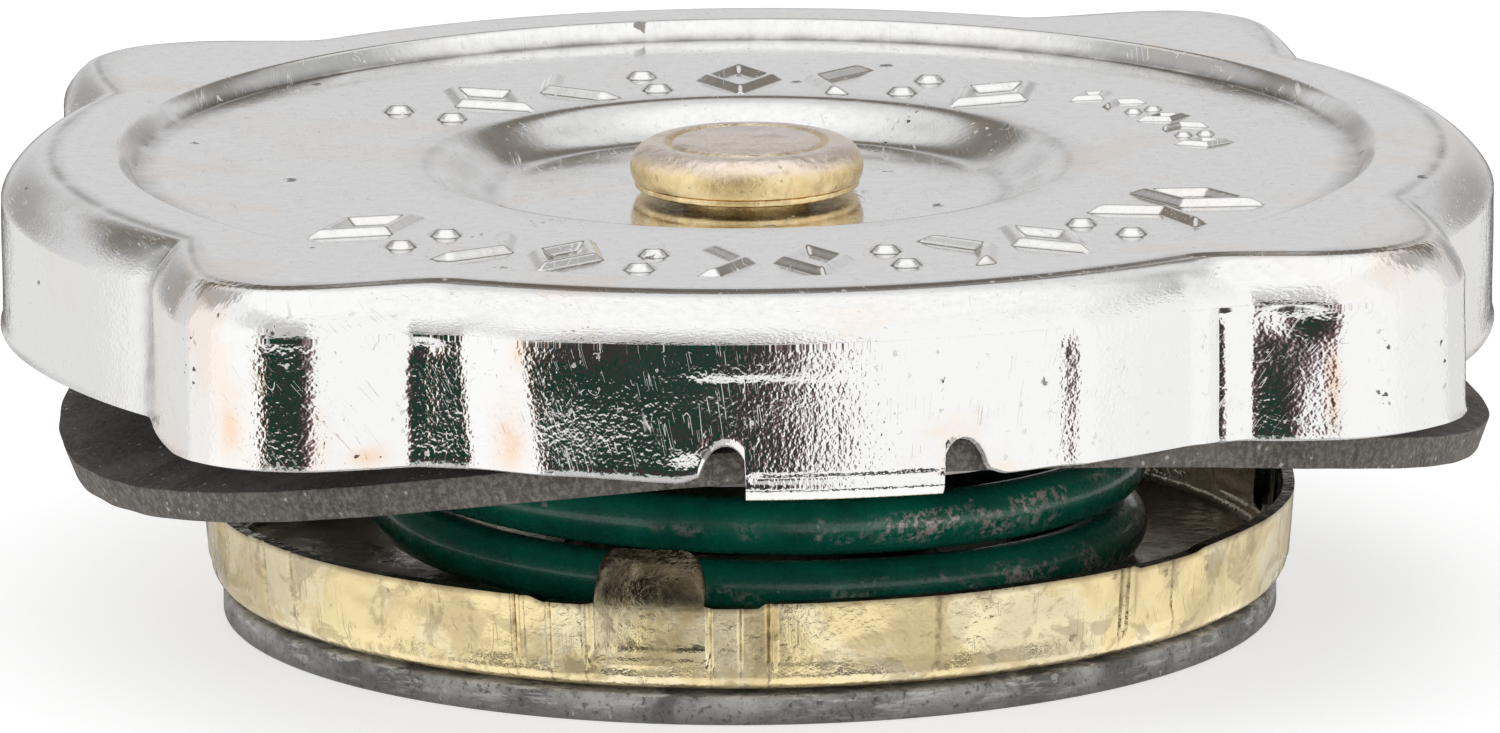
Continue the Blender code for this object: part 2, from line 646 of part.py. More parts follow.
def build_pressure_seal(rubber, carrier):
    """Thick outer ring that seals, and a thin web that the spool clamps."""
    bore = spool_radius + SEAT_GAP
    web_under = SEAL_THICKNESS - SEAL_WEB_THICKNESS
    outline = [(bore, web_under), (bore, SEAL_THICKNESS)]
    outline += arc((SEAL_RADIUS - SEAL_ROUND, SEAL_THICKNESS - SEAL_ROUND), SEAL_ROUND, 90, 0, 1)
    outline += arc((SEAL_RADIUS - SEAL_ROUND, SEAL_ROUND), SEAL_ROUND, 0, -90, 1)
    outline += [(SEAL_WEB_RADIUS, 0), (SEAL_WEB_RADIUS, web_under)]
    make_object("pressure_seal", turned(outline, FINE), rubber, carrier)


def build_valve_spool(steel, carrier):
    """Tube that is flanged under the seal, beaded over the cup's floor and rimmed inside the bell."""
    outline = [
        (spool_bore, SPOOL_FOOT),
        (spool_bore, shoulder_under),
        (shoulder_bore, shoulder_under),
        (shoulder_bore, shoulder_top),
        (spool_bore, shoulder_top),
        (spool_bore, spool_top),
        (spool_rim_radius, spool_top),
        (spool_rim_radius, spool_rim_under),
        (spool_radius, spool_rim_under),
        (spool_radius, bead_bottom + SPOOL_BEAD_HEIGHT),
        (bead_radius, bead_bottom + 0.5 * SPOOL_BEAD_HEIGHT),
        (bead_radius, bead_bottom),
        (spool_radius, bead_bottom),
        (spool_radius, spool_flange_top),
        (SPOOL_FLANGE_RADIUS, spool_flange_top),
        (SPOOL_FLANGE_RADIUS, SPOOL_FOOT),
    ]
    make_object("valve_spool", turned(outline, MEDIUM), steel, carrier)
    disc = ring_outline(stem_hole, spool_bore - RUNNING_GAP, guide_under, guide_top)
    guide = make_object("guide_disc", turned(disc, MEDIUM), steel, carrier)
    drills = bmesh.new()
    for i in range(FLOW_HOLES):
        made = bmesh.ops.create_cone(
            drills, cap_ends=True, segments=8, radius1=FLOW_HOLE_RADIUS, radius2=FLOW_HOLE_RADIUS,
            depth=3 * GUIDE_THICKNESS,
        )["verts"]
        centre = polar(360 * i / FLOW_HOLES, FLOW_CIRCLE_SHARE * spool_bore, 0.5 * (guide_under + guide_top))
        bmesh.ops.translate(drills, vec=centre, verts=made)
    cut(guide, make_object("flow_hole_cutter", drills, steel))


def build_vacuum_valve(brass, rubber, steel, carrier, spring_carrier):
    seal_bottom = vacuum_seal_top - VACUUM_SEAL_THICKNESS
    seal = ring_outline(stem_hole, vacuum_seal_radius, seal_bottom, vacuum_seal_top)
    make_object("vacuum_seal", turned(seal, COARSE), rubber, carrier)
    disc_bottom = vacuum_disc_top - VACUUM_DISC_THICKNESS
    disc = ring_outline(stem_hole, vacuum_disc_radius, disc_bottom, vacuum_disc_top)
    make_object("vacuum_disc", turned(disc, MEDIUM), brass, carrier)
    head_bottom = stem_head_top - STEM_HEAD_HEIGHT
    tip_top = stem_tip_under + STEM_TIP_HEIGHT
    stem = [
        (0, tip_top),
        (0.6 * STEM_TIP_RADIUS, tip_top),
        (STEM_TIP_RADIUS, stem_tip_under),
        (STEM_RADIUS, stem_tip_under),
        (STEM_RADIUS, stem_head_top),
        (STEM_HEAD_RADIUS, stem_head_top),
        (0.7 * STEM_HEAD_RADIUS, head_bottom),
        (0, head_bottom),
    ]
    make_object("vacuum_stem", turned(stem, COARSE), brass, carrier)
    clip = ring_outline(stem_hole, CLIP_RADIUS, clip_under, clip_under + CLIP_THICKNESS)
    make_object("stem_clip", turned(clip, COARSE), steel, carrier)
    first = vacuum_spring_bottom + 0.5 * VACUUM_SPRING_WIRE
    rise = vacuum_spring_length - VACUUM_SPRING_WIRE
    wire = coil(VACUUM_SPRING_RADIUS, VACUUM_SPRING_WIRE, first, rise, 0, VACUUM_SPRING_TURNS, 6, 12)
    make_object("vacuum_spring", wire, steel, spring_carrier, sharp_deg=70)


def carrier_empty(name, parent=None):
    """Empty on the cap's axis that a moving group hangs from."""
    made = bpy.data.objects.new(name, None)
    made.empty_display_size = BODY_RADIUS
    made.parent = parent
    bpy.context.scene.collection.objects.link(made)
    return made


def main():
    for old in list(bpy.data.objects):
        bpy.data.objects.remove(old)
    nickel = material("nickel_plate", (0.78, 0.77, 0.75), 1.0, 0.18)
    zinc = material("yellow_zinc", (0.72, 0.58, 0.33), 1.0, 0.28)
    fibre = material("gasket_fibre", (0.13, 0.115, 0.10), 0.0, 0.85)
    grey_steel = material("grey_steel", (0.42, 0.41, 0.40), 1.0, 0.38)
    enamel = material("green_enamel", (0.0, 0.07, 0.04), 0.0, 0.25)
    brass = material("pale_brass", (0.72, 0.58, 0.33), 1.0, 0.32)
    rubber = material("seal_rubber", (0.20, 0.20, 0.20), 0.0, 0.7)
    valve_carrier = carrier_empty("valve_carrier_axis")
    pressure_valve = carrier_empty("pressure_valve_axis", valve_carrier)
    vacuum_valve = carrier_empty("vacuum_valve_axis", pressure_valve)
    build_shell(nickel)
    build_rivet(zinc)
    build_gasket_stack(fibre, grey_steel)
    build_spring_seat(grey_steel, valve_carrier)
    build_bell(grey_steel, valve_carrier)
    build_pressure_spring(enamel, valve_carrier)
    build_valve_cup(brass, pressure_valve)
    build_pressure_seal(rubber, pressure_valve)
    build_valve_spool(grey_steel, pressure_valve)
    build_vacuum_valve(brass, rubber, grey_steel, vacuum_valve, pressure_valve)


main()
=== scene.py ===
"""Dressing of a radiator cap in Blender 4.5.

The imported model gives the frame. This file builds the fine pieces that stand for its visible
nodes, gives every node its finish, and sets the stage, the light and the camera.
Lengths are metres. The cap's axis is Z, its lugs point to -Y and +Y, and angles round the axis are
counted from the -Y lug towards +X.
"""

import math

import bmesh
import bpy
import numpy as np
from mathutils import Matrix, Vector


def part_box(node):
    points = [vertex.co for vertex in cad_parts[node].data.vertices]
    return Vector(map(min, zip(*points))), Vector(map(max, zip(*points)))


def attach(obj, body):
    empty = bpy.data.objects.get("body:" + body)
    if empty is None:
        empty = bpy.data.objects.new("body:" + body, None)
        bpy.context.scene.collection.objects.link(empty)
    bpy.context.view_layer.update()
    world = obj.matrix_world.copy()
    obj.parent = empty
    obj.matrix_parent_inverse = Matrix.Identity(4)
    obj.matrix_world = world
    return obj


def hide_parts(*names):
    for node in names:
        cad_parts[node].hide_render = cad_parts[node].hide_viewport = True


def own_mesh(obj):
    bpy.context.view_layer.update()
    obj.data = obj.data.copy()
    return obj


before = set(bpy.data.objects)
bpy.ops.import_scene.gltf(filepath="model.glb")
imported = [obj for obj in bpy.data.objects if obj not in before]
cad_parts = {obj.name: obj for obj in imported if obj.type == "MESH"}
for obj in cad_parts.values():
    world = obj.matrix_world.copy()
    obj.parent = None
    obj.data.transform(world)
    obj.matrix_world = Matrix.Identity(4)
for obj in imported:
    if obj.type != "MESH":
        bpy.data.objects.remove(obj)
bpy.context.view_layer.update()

bl_info = {
    "name": "Radiator Cap",
    "version": (1, 0, 0),
    "blender": (4, 5, 0),
    "location": "View3D > Sidebar > Radiator Cap",
    "description": "Builds the pieces, finishes and stage of a radiator cap round its packed model",
    "category": "Object",
}


# Settings shown in the sidebar

def length(name, default, description):
    """A length in metres."""
    return bpy.props.FloatProperty(
        name=name, default=default, description=description, unit="LENGTH", subtype="DISTANCE", precision=5
    )


def degrees(name, default, description):
    """An angle, given here in degrees."""
    return bpy.props.FloatProperty(
        name=name, default=math.radians(default), description=description, unit="ROTATION", subtype="ANGLE"
    )


def share(name, default, description):
    """A factor from 0 to 1."""
    return bpy.props.FloatProperty(
        name=name, default=default, description=description, min=0.0, max=1.0, subtype="FACTOR"
    )


def colour(name, default, description):
    """A linear colour."""
    return bpy.props.FloatVectorProperty(
        name=name, default=default, description=description, size=3, min=0.0, max=1.0, subtype="COLOR"
    )


def count(name, default, description):
    """A whole number of pieces or turns."""
    return bpy.props.IntProperty(name=name, default=default, description=description, min=1)


class ShellSettings(bpy.types.PropertyGroup):
    """Sizes and colours of the pressed shell."""

    height: length("Height", 0.0185, "Standing plane to the land round the centre plate")
    sheet: length("Sheet", 0.0005, "Thickness of the pressed sheet")
    body_radius: length("Body radius", 0.02925, "Skirt radius at the lugs")
    land_radius: length("Land radius", 0.02705, "Where the land turns into the shoulder")
    skirt_depth: length("Skirt depth", 0.00682, "Land to the skirt's raw edge")
    lug_depth: length("Lug depth", 0.0078, "Land to the lug's underside")
    dent_depth: length("Dent depth", 0.00003, "Height of the waves and dents in the skirt")
    crease: length("Crease", 0.00030, "Depth of the press crease beside the left ear")
    tint: colour("Plating", (0.97, 0.968, 0.96), "Colour of the bright plating")
    stain: colour("Stain", (1.0, 0.86, 0.74), "Colour of the warm stains in the plating")


class MarkSettings(bpy.types.PropertyGroup):
    """Sizes of the raised marks pressed into the plate."""

    height: length("Height", 0.00028, "Height of a mark above the plate")
    stroke: length("Stroke", 0.00038, "Half width of a mark's stroke")
    reach: length("Radial length", 0.0050, "Size of a mark along the radius")
    width: length("Width", 0.0030, "Size of a mark round the plate")
    front_radius: length("Front radius", 0.0192, "Radius of the front arc of marks")
    front_number: count("Front marks", 13, "Marks in the front arc")
    back_radius: length("Back radius", 0.0158, "Radius of the back arc of marks")
    back_number: count("Back marks", 8, "Marks in the back arc")


class RivetSettings(bpy.types.PropertyGroup):
    """Sizes and colours of the centre rivet."""

    head_radius: length("Head radius", 0.00458, "Radius of the rivet's head")
    ring_radius: length("Ring radius", 0.00307, "Radius of the groove rolled in the head")
    gold: colour("Gold", (0.84, 0.63, 0.31), "Colour of the yellow plating")
    worn: colour("Worn", (0.99, 0.86, 0.76), "Colour where the plating has worn")


class GasketSettings(bpy.types.PropertyGroup):
    """Sizes and colours of the bowed neck gasket."""

    clearance: length("Clearance", 0.00095, "Gap in radius to the skirt's radius")
    thickness: length("Thickness", 0.00125, "Thickness of the gasket")
    bow_radius: length("Bow radius", 0.0760, "Radius that the gasket is bent to")
    face: colour("Face", (0.070, 0.060, 0.051), "Colour of the flat faces")
    cut: colour("Cut edge", (0.262, 0.238, 0.208), "Colour of the cut edge")


class SpringSettings(bpy.types.PropertyGroup):
    """Sizes and colours of the pressure spring."""

    mean_radius: length("Mean radius", 0.01425, "Radius of the coil's centre line")
    wire: length("Wire", 0.00225, "Diameter of the wire")
    coil_gap: length("Coil gap", 0.00025, "Gap between the turns")
    grind: length("Grind", 0.0007, "Depth ground off the end turns")
    enamel: colour("Enamel", (0.003, 0.240, 0.150), "Colour of the enamel")
    # Pale enough that the rubbed crest also stands as a painted highlight.
    worn: colour("Worn", (0.80, 0.71, 0.69), "Colour where the enamel has rubbed off")
    small_radius: length("Small radius", 0.0019, "Radius of the vacuum coil's centre line")
    small_wire: length("Small wire", 0.0003, "Diameter of the vacuum coil's wire")


class CupSettings(bpy.types.PropertyGroup):
    """Sizes and colours of the brass valve cup."""

    radius: length("Radius", 0.0215, "Outer radius of the cup")
    height: length("Height", 0.00356, "Base to rim")
    tab_rise: length("Tab rise", 0.0019, "Height of the tabs above the rim")
    crease: length("Crease", 0.00012, "Depth of the creases in the wall")
    brass: colour("Brass", (1.0, 0.83, 0.47), "Colour of the clean brass")
    tarnish: colour("Tarnish", (0.50, 0.38, 0.22), "Colour of the tarnished brass")


class SealSettings(bpy.types.PropertyGroup):
    """Sizes and colours of the rubber pressure seal."""

    radius: length("Radius", 0.02075, "Outer radius of the seal")
    thickness: length("Thickness", 0.00116, "Thickness of the seal")
    rubber: colour("Rubber", (0.17, 0.165, 0.16), "Colour of the seal's rubber")
    dust: colour("Dust", (0.70, 0.69, 0.67), "Colour of the dust and chalk on the rubber")


class SteelSettings(bpy.types.PropertyGroup):
    """Colours of the plain steel and brass fittings inside."""

    steel: colour("Steel", (0.40, 0.385, 0.37), "Colour of the bare steel")
    soot: colour("Soot", (0.10, 0.088, 0.075), "Colour of the dirt on the steel")


class StageSettings(bpy.types.PropertyGroup):
    """Camera, light and floor."""

    azimuth: degrees("Azimuth", 7.6, "Camera's turn from the -Y lug towards -X")
    elevation: degrees("Elevation", 11.723, "Camera's height above the top face's centre")
    roll: degrees("Roll", 0.419, "Camera's roll")
    distance: length("Distance", 0.680, "Camera to the top face's centre")
    floor: colour("Floor", (0.86, 0.86, 0.86), "Colour of the floor")
    light: share("Light", 0.95, "Strength of the white surroundings")


# Levels and outlines that the pieces share

SEAT_GAP = 0.00025
GROUPS = {}


def smooth(start, end, value):
    """0 before start, 1 after end, and an S-shaped rise between them."""
    t = np.clip((np.asarray(value, float) - start) / (end - start), 0, 1)
    return t * t * (3 - 2 * t)


def signed(angle):
    """The angle counted from -180 to 180 degrees."""
    return (angle + 180) % 360 - 180


def bump(centre, width, value):
    """A bell of height 1 at centre."""
    return np.exp(-(((np.asarray(value, float) - centre) / width) ** 2))


def ripple(seed, angle, height, waves=7, longest=30.0):
    """Gentle waves over a wall, from -1 to 1, the same for each run. They close after a full turn."""
    rng = np.random.default_rng(seed)
    total = np.zeros(np.broadcast(angle, height).shape)
    for _ in range(waves):
        turns = rng.integers(3, int(longest))
        rise = rng.uniform(-1200, 1200)
        phase = rng.uniform(0, 2 * math.pi)
        total = total + np.sin(np.radians(angle) * turns + height * rise + phase) / math.sqrt(waves)
    return total


def put(name, data):
    """A new object in the scene, at the origin."""
    made = bpy.data.objects.new(name, data)
    bpy.context.scene.collection.objects.link(made)
    return made


def mesh_object(name, verts, faces, material, sharp_deg=40, attributes=None):
    """A smooth-shaded mesh object at the origin, with its attributes and one material."""
    mesh = bpy.data.meshes.new(name)
    mesh.from_pydata([tuple(v) for v in np.asarray(verts, float)], [], faces)
    for key, values in (attributes or {}).items():
        values = np.asarray(values, np.float32)
        kind, field = ("FLOAT", "value") if values.ndim == 1 else ("FLOAT_VECTOR", "vector")
        mesh.attributes.new(key, kind, "POINT").data.foreach_set(field, values.ravel())
    mesh.materials.append(material)
    mesh.validate()
    mesh.shade_smooth()
    mesh.set_sharp_from_angle(angle=math.radians(sharp_deg))
    return put(name, mesh)


def seat(piece, body, slot, *nodes):
    """Rides a piece on its body and hides the nodes that it stands for. Its slot is not used."""
    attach(piece, body)
    if nodes:
        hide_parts(*nodes)
    return piece


def spin(name, outline, material, segments=192, sharp_deg=40):
    """Turned piece from a closed outline of (radius, height), or one that starts and ends on the axis."""
    shape = bmesh.new()
    verts = [shape.verts.new((r, 0, z)) for r, z in outline]
    closed = outline[0][0] > 0
    pairs = zip(verts, verts[1:] + verts[:1] if closed else verts[1:])
    edges = [shape.edges.new(pair) for pair in pairs]
    bmesh.ops.spin(
        shape, geom=verts + edges, cent=(0, 0, 0), axis=(0, 0, 1),
        angle=2 * math.pi, steps=segments, use_merge=True,
    )
    bmesh.ops.remove_doubles(shape, verts=shape.verts, dist=1e-7)
    bmesh.ops.recalc_face_normals(shape, faces=shape.faces)
    mesh = bpy.data.meshes.new(name)
    shape.to_mesh(mesh)
    shape.free()
    mesh.materials.append(material)
    mesh.shade_smooth()
    mesh.set_sharp_from_angle(angle=math.radians(sharp_deg))
    return put(name, mesh)


def arc(centre, radius, start_deg, end_deg, steps):
    """Points (radius, height) along a round stretch of an outline."""
    turns = np.radians(np.linspace(start_deg, end_deg, steps + 1))
    return [(centre[0] + radius * math.cos(t), centre[1] + radius * math.sin(t)) for t in turns]


# Shader building

def link(tree, value, socket):
    """Joins an output to an input, or sets the input's own value."""
    if isinstance(value, bpy.types.NodeSocket):
        tree.links.new(value, socket)
    elif isinstance(value, (tuple, list)) and len(value) == 3 and socket.type == "RGBA":
        socket.default_value = (*value, 1.0)
    else:
        socket.default_value = value


def add(tree, kind, inputs=None, **settings):
    """Adds a node, sets its settings, and fills its inputs by name or number."""
    made = tree.nodes.new(kind)
    for key, value in settings.items():
        setattr(made, key, value)
    for key, value in (inputs or {}).items():
        link(tree, value, made.inputs[key])
    return made


def calc(tree, operation, first, second=0.0, third=None, clamp=False):
    """Output of a Math node."""
    made = tree.nodes.new("ShaderNodeMath")
    made.operation = operation
    made.use_clamp = clamp
    link(tree, first, made.inputs[0])
    link(tree, second, made.inputs[1])
    if third is not None:
        link(tree, third, made.inputs[2])
    return made.outputs[0]


def plus(tree, first, second, clamp=False):
    """Sum of two values."""
    return calc(tree, "ADD", first, second, clamp=clamp)


def minus(tree, first, second, clamp=False):
    """Difference of two values."""
    return calc(tree, "SUBTRACT", first, second, clamp=clamp)


def times(tree, first, second, clamp=False):
    """Product of two values."""
    return calc(tree, "MULTIPLY", first, second, clamp=clamp)


def remap(tree, value, low, high, to_low=0.0, to_high=1.0, kind="SMOOTHSTEP"):
    """Output of a Map Range node."""
    made = add(tree, "ShaderNodeMapRange", interpolation_type=kind)
    for number, entry in enumerate((value, low, high, to_low, to_high)):
        link(tree, entry, made.inputs[number])
    return made.outputs[0]


def blend_colour(tree, factor, first, second, mode="MIX"):
    """Output of a colour Mix node."""
    made = add(tree, "ShaderNodeMix", data_type="RGBA", blend_type=mode)
    link(tree, factor, made.inputs[0])
    link(tree, first, made.inputs[6])
    link(tree, second, made.inputs[7])
    return made.outputs[2]


def cover(tree, base, mask, amount, shade):
    """The base colour covered by a shade where the mask lies, up to an amount."""
    return blend_colour(tree, times(tree, mask, amount), base, shade)


def noise(tree, coords, scale, detail=4.0, roughness=0.55, distortion=0.0):
    """Noise value."""
    made = add(
        tree, "ShaderNodeTexNoise",
        {
            "Vector": coords, "Scale": scale, "Detail": detail, "Roughness": roughness,
            "Distortion": distortion,
        },
    )
    return made.outputs["Fac"]


def stretch(tree, coords, scale, rotation=(0.0, 0.0, 0.0)):
    """Coordinates scaled and turned by a Mapping node."""
    made = add(tree, "ShaderNodeMapping", {"Vector": coords, "Scale": scale, "Rotation": rotation})
    return made.outputs[0]


def group(name, inputs, outputs, fill):
    """A shader node group, built once. fill(tree, sockets) returns the outputs by name."""
    if name in GROUPS:
        return GROUPS[name]
    tree = bpy.data.node_groups.new(name, "ShaderNodeTree")
    for label, value in inputs.items():
        kind = "NodeSocketVector" if value is None else "NodeSocketFloat"
        socket = tree.interface.new_socket(label, in_out="INPUT", socket_type=kind)
        if value is not None:
            socket.default_value = value
    for label in outputs:
        tree.interface.new_socket(label, in_out="OUTPUT", socket_type="NodeSocketFloat")
    entry = tree.nodes.new("NodeGroupInput")
    leave = tree.nodes.new("NodeGroupOutput")
    made = fill(tree, entry.outputs)
    for label in outputs:
        tree.links.new(made[label], leave.inputs[label])
    GROUPS[name] = tree
    return tree


def use_group(tree, made, **inputs):
    """Places a node group and returns its outputs."""
    node = tree.nodes.new("ShaderNodeGroup")
    node.node_tree = made
    for key, value in inputs.items():
        link(tree, value, node.inputs[key])
    return node.outputs


def scratches_group():
    """Hair scratches on a flat sheet: long straight ones in several directions, and short curls."""
    def fill(tree, given):
        total = None
        for number, turn in enumerate((0.45, 1.05, 1.45, 1.95, 2.55)):
            coords = stretch(tree, given["Coords"], (1.0, 0.04, 1.0), (0.0, 0.0, turn))
            scaled = add(tree, "ShaderNodeVectorMath", {0: coords}, operation="SCALE")
            link(tree, given["Scale"], scaled.inputs["Scale"])
            lines = noise(tree, scaled.outputs[0], 1.0 + 0.37 * number, 1.0, 0.5)
            thin = remap(tree, calc(tree, "ABSOLUTE", minus(tree, lines, 0.5)), 0.0, 0.007, 1.0, 0.0)
            broken = remap(tree, noise(tree, given["Coords"], 300.0 + 110 * number, 3.0), 0.59, 0.67)
            line = times(tree, thin, broken)
            total = line if total is None else calc(tree, "MAXIMUM", total, line)
        curls = noise(tree, given["Coords"], times(tree, given["Scale"], 0.7), 2.0, 0.5)
        thin = remap(tree, calc(tree, "ABSOLUTE", minus(tree, curls, 0.5)), 0.0, 0.012, 1.0, 0.0)
        broken = remap(tree, noise(tree, given["Coords"], 700.0, 3.0), 0.60, 0.66)
        total = calc(tree, "MAXIMUM", total, times(tree, thin, broken))
        return {"Mask": times(tree, total, given["Amount"])}
    return group("scratches", {"Coords": None, "Scale": 900.0, "Amount": 1.0}, ["Mask"], fill)


def specks_group():
    """Small ragged specks of uneven size."""
    def fill(tree, given):
        ragged = add(tree, "ShaderNodeTexNoise", {
            "Vector": given["Coords"], "Scale": times(tree, given["Scale"], 2.5), "Detail": 2.0,
        }).outputs["Color"]
        push = add(tree, "ShaderNodeVectorMath", {0: ragged, 1: (0.5, 0.5, 0.5)}, operation="SUBTRACT")
        push = add(tree, "ShaderNodeVectorMath", {0: push.outputs[0]}, operation="SCALE")
        link(tree, calc(tree, "DIVIDE", 0.7, given["Scale"]), push.inputs["Scale"])
        moved = add(tree, "ShaderNodeVectorMath", {0: given["Coords"], 1: push.outputs[0]}).outputs[0]
        cells = add(tree, "ShaderNodeTexVoronoi", {"Vector": moved, "Scale": given["Scale"]})
        chance = add(tree, "ShaderNodeSeparateColor", {0: cells.outputs["Color"]})
        size = remap(tree, chance.outputs[0], minus(tree, 1.0, given["Share"]), 1.0, 0.0, 0.32, "LINEAR")
        mask = remap(tree, minus(tree, size, cells.outputs["Distance"]), 0.0, 0.08)
        return {"Mask": mask}
    return group("specks", {"Coords": None, "Scale": 900.0, "Share": 0.2}, ["Mask"], fill)


def smudges_group():
    """Soft cloudy patches with a ragged edge."""
    def fill(tree, given):
        broad = noise(tree, given["Coords"], given["Scale"], 5.0, 0.6, 0.6)
        return {"Mask": remap(tree, broad, given["Start"], given["End"])}
    return group("smudges", {"Coords": None, "Scale": 120.0, "Start": 0.5, "End": 0.65}, ["Mask"], fill)


def specks(tree, coords, scale, share_of_cells):
    """Mask of small ragged specks."""
    return use_group(tree, specks_group(), Coords=coords, Scale=scale, Share=share_of_cells)["Mask"]


def smudges(tree, coords, scale, start, end):
    """Mask of soft cloudy patches."""
    return use_group(tree, smudges_group(), Coords=coords, Scale=scale, Start=start, End=end)["Mask"]


def scratches(tree, coords, scale):
    """Mask of hair scratches."""
    return use_group(tree, scratches_group(), Coords=coords, Scale=scale, Amount=1.0)["Mask"]


def new_material(name, display):
    """An empty Principled material. Returns it, its tree and its shader."""
    made = bpy.data.materials.new(name)
    made.use_nodes = True
    made.diffuse_color = (*display, 1.0)
    return made, made.node_tree, made.node_tree.nodes["Principled BSDF"]


def object_coords(tree):
    """Coordinates in the piece's own space."""
    return add(tree, "ShaderNodeTexCoord").outputs["Object"]


def attribute(tree, name):
    """Value of one of the piece's own attributes."""
    return add(tree, "ShaderNodeAttribute", attribute_name=name).outputs["Fac"]


def axis_distance(tree, coords):
    """Distance from the cap's axis."""
    flat = add(tree, "ShaderNodeVectorMath", {0: coords, 1: (1.0, 1.0, 0.0)}, operation="MULTIPLY").outputs[0]
    return add(tree, "ShaderNodeVectorMath", {0: flat}, operation="LENGTH").outputs["Value"]


def skin_coords(tree):
    """Coordinates of the sheet laid out flat, from the piece's own attribute."""
    return add(tree, "ShaderNodeAttribute", attribute_name="skin").outputs["Vector"]


def surface(tree, shader, base, metal):
    """Sets the shader's colour, and whether it is metal."""
    link(tree, base, shader.inputs["Base Color"])
    shader.inputs["Metallic"].default_value = metal


def relief(tree, shader, height, distance, strength):
    """Feeds a height into the shader's normal through a Bump node."""
    made = add(tree, "ShaderNodeBump", {"Height": height, "Distance": distance, "Strength": strength})
    tree.links.new(made.outputs[0], shader.inputs["Normal"])


def plating_material(settings):
    """Bright nickel plating: stains, pits, hair scratches, and an orange peel, stronger on the skirt."""
    made, tree, shader = new_material("bright_plating", settings.tint)
    coords = skin_coords(tree)
    reach = axis_distance(tree, coords)
    skirt = remap(tree, reach, 0.0295, 0.0330)
    scratch = scratches(tree, coords, 1300.0)
    pits = specks(tree, coords, 1000.0, 0.020)
    nicks = specks(tree, coords, 2600.0, 0.36)
    stains = smudges(tree, coords, 110.0, 0.55, 0.68)
    worn = smudges(tree, coords, 330.0, 0.40, 0.60)
    cloud = noise(tree, coords, 420.0, 5.0, 0.62)
    base = blend_colour(tree, times(tree, stains, 0.6), tuple(settings.tint), tuple(settings.stain))
    grey = remap(tree, noise(tree, coords, 1900.0, 4.0, 0.7), 0.35, 0.75, 0.0, 0.22)
    grey = times(tree, grey, remap(tree, skirt, 0.0, 1.0, 1.0, 0.15))
    base = blend_colour(tree, grey, base, (0.52, 0.52, 0.52))
    corner = attribute(tree, "pitted")
    dots = specks(tree, coords, 2700.0, 1.5)
    dots = times(tree, dots, remap(tree, corner, 0.15, 0.6))
    warm = attribute(tree, "warm")
    warm = times(tree, warm, remap(tree, cloud, 0.35, 0.55, 0.35, 1.0))
    base = blend_colour(tree, warm, base, (0.98, 0.72, 0.52))
    base = cover(tree, base, pits, 0.75, (0.14, 0.11, 0.09))
    base = cover(tree, base, dots, 0.9, (0.06, 0.052, 0.045))
    pits = calc(tree, "MAXIMUM", pits, dots)
    # Painted shade along the creases: the foot of the step, the dish's edges, the land's edge and the valleys
    # beside the ears.
    crease_shade = attribute(tree, "crease_shade")
    crease_shade = times(tree, crease_shade, remap(tree, cloud, 0.30, 0.62, 0.30, 0.85))
    base = blend_colour(tree, crease_shade, base, (0.16, 0.14, 0.125))
    surface(tree, shader, base, 1.0)
    rough = remap(tree, cloud, 0.35, 0.75, 0.09, 0.20)
    rough = times(tree, rough, remap(tree, skirt, 0.0, 1.0, 1.0, 0.55))
    dulled = times(tree, calc(tree, "MAXIMUM", scratch, times(tree, nicks, worn)), 0.55)
    rough = plus(tree, rough, dulled)
    rough = plus(tree, rough, times(tree, pits, 0.3), clamp=True)
    link(tree, rough, shader.inputs["Roughness"])
    peel = times(tree, noise(tree, coords, 5200.0, 1.0, 0.5), remap(tree, skirt, 0.0, 1.0, 0.10, 0.75))
    broad = times(tree, noise(tree, coords, 620.0, 3.0, 0.6), remap(tree, skirt, 0.0, 1.0, 0.25, 1.5))
    height = plus(tree, broad, peel)
    height = minus(tree, height, times(tree, scratch, 0.2))
    height = minus(tree, height, times(tree, nicks, times(tree, worn, 0.35)))
    height = minus(tree, height, times(tree, pits, 0.5))
    relief(tree, shader, height, 0.000022, 1.0)
    return made


def rivet_material(settings):
    """Yellow plating worn to a pinkish grey on the crown, still golden in the groove and down the side."""
    made, tree, shader = new_material("worn_yellow_plating", settings.gold)
    coords = object_coords(tree)
    place = add(tree, "ShaderNodeSeparateXYZ", {0: coords}).outputs
    reach = axis_distance(tree, coords)
    from_groove = calc(tree, "ABSOLUTE", minus(tree, reach, settings.ring_radius))
    groove = remap(tree, from_groove, 0.00010, 0.00024, 1.0, 0.0)
    blotch = noise(tree, coords, 1100.0, 6.0, 0.7)
    patch = noise(tree, coords, 420.0, 3.0, 0.6)
    crown = remap(tree, plus(tree, place["Z"], times(tree, blotch, 0.0009)), 0.0182, 0.0189)
    worn = times(tree, crown, remap(tree, patch, 0.25, 0.5, 0.55, 1.0))
    worn = times(tree, worn, minus(tree, 1.0, times(tree, groove, 0.8)))
    base = blend_colour(tree, remap(tree, patch, 0.4, 0.65), tuple(settings.gold), (0.98, 0.80, 0.46))
    base = blend_colour(tree, worn, base, tuple(settings.worn))
    dark = smudges(tree, coords, 800.0, 0.54, 0.72)
    base = cover(tree, base, dark, 0.45, (0.38, 0.26, 0.15))
    flecks = specks(tree, coords, 2600.0, 0.2)
    base = cover(tree, base, flecks, 0.35, (0.32, 0.22, 0.13))
    surface(tree, shader, base, 1.0)
    link(tree, remap(tree, blotch, 0.3, 0.7, 0.10, 0.30), shader.inputs["Roughness"])
    height = minus(tree, calc(tree, "MULTIPLY_ADD", patch, 1.6, blotch), times(tree, flecks, 0.3))
    relief(tree, shader, height, 0.00009, 1.0)
    return made


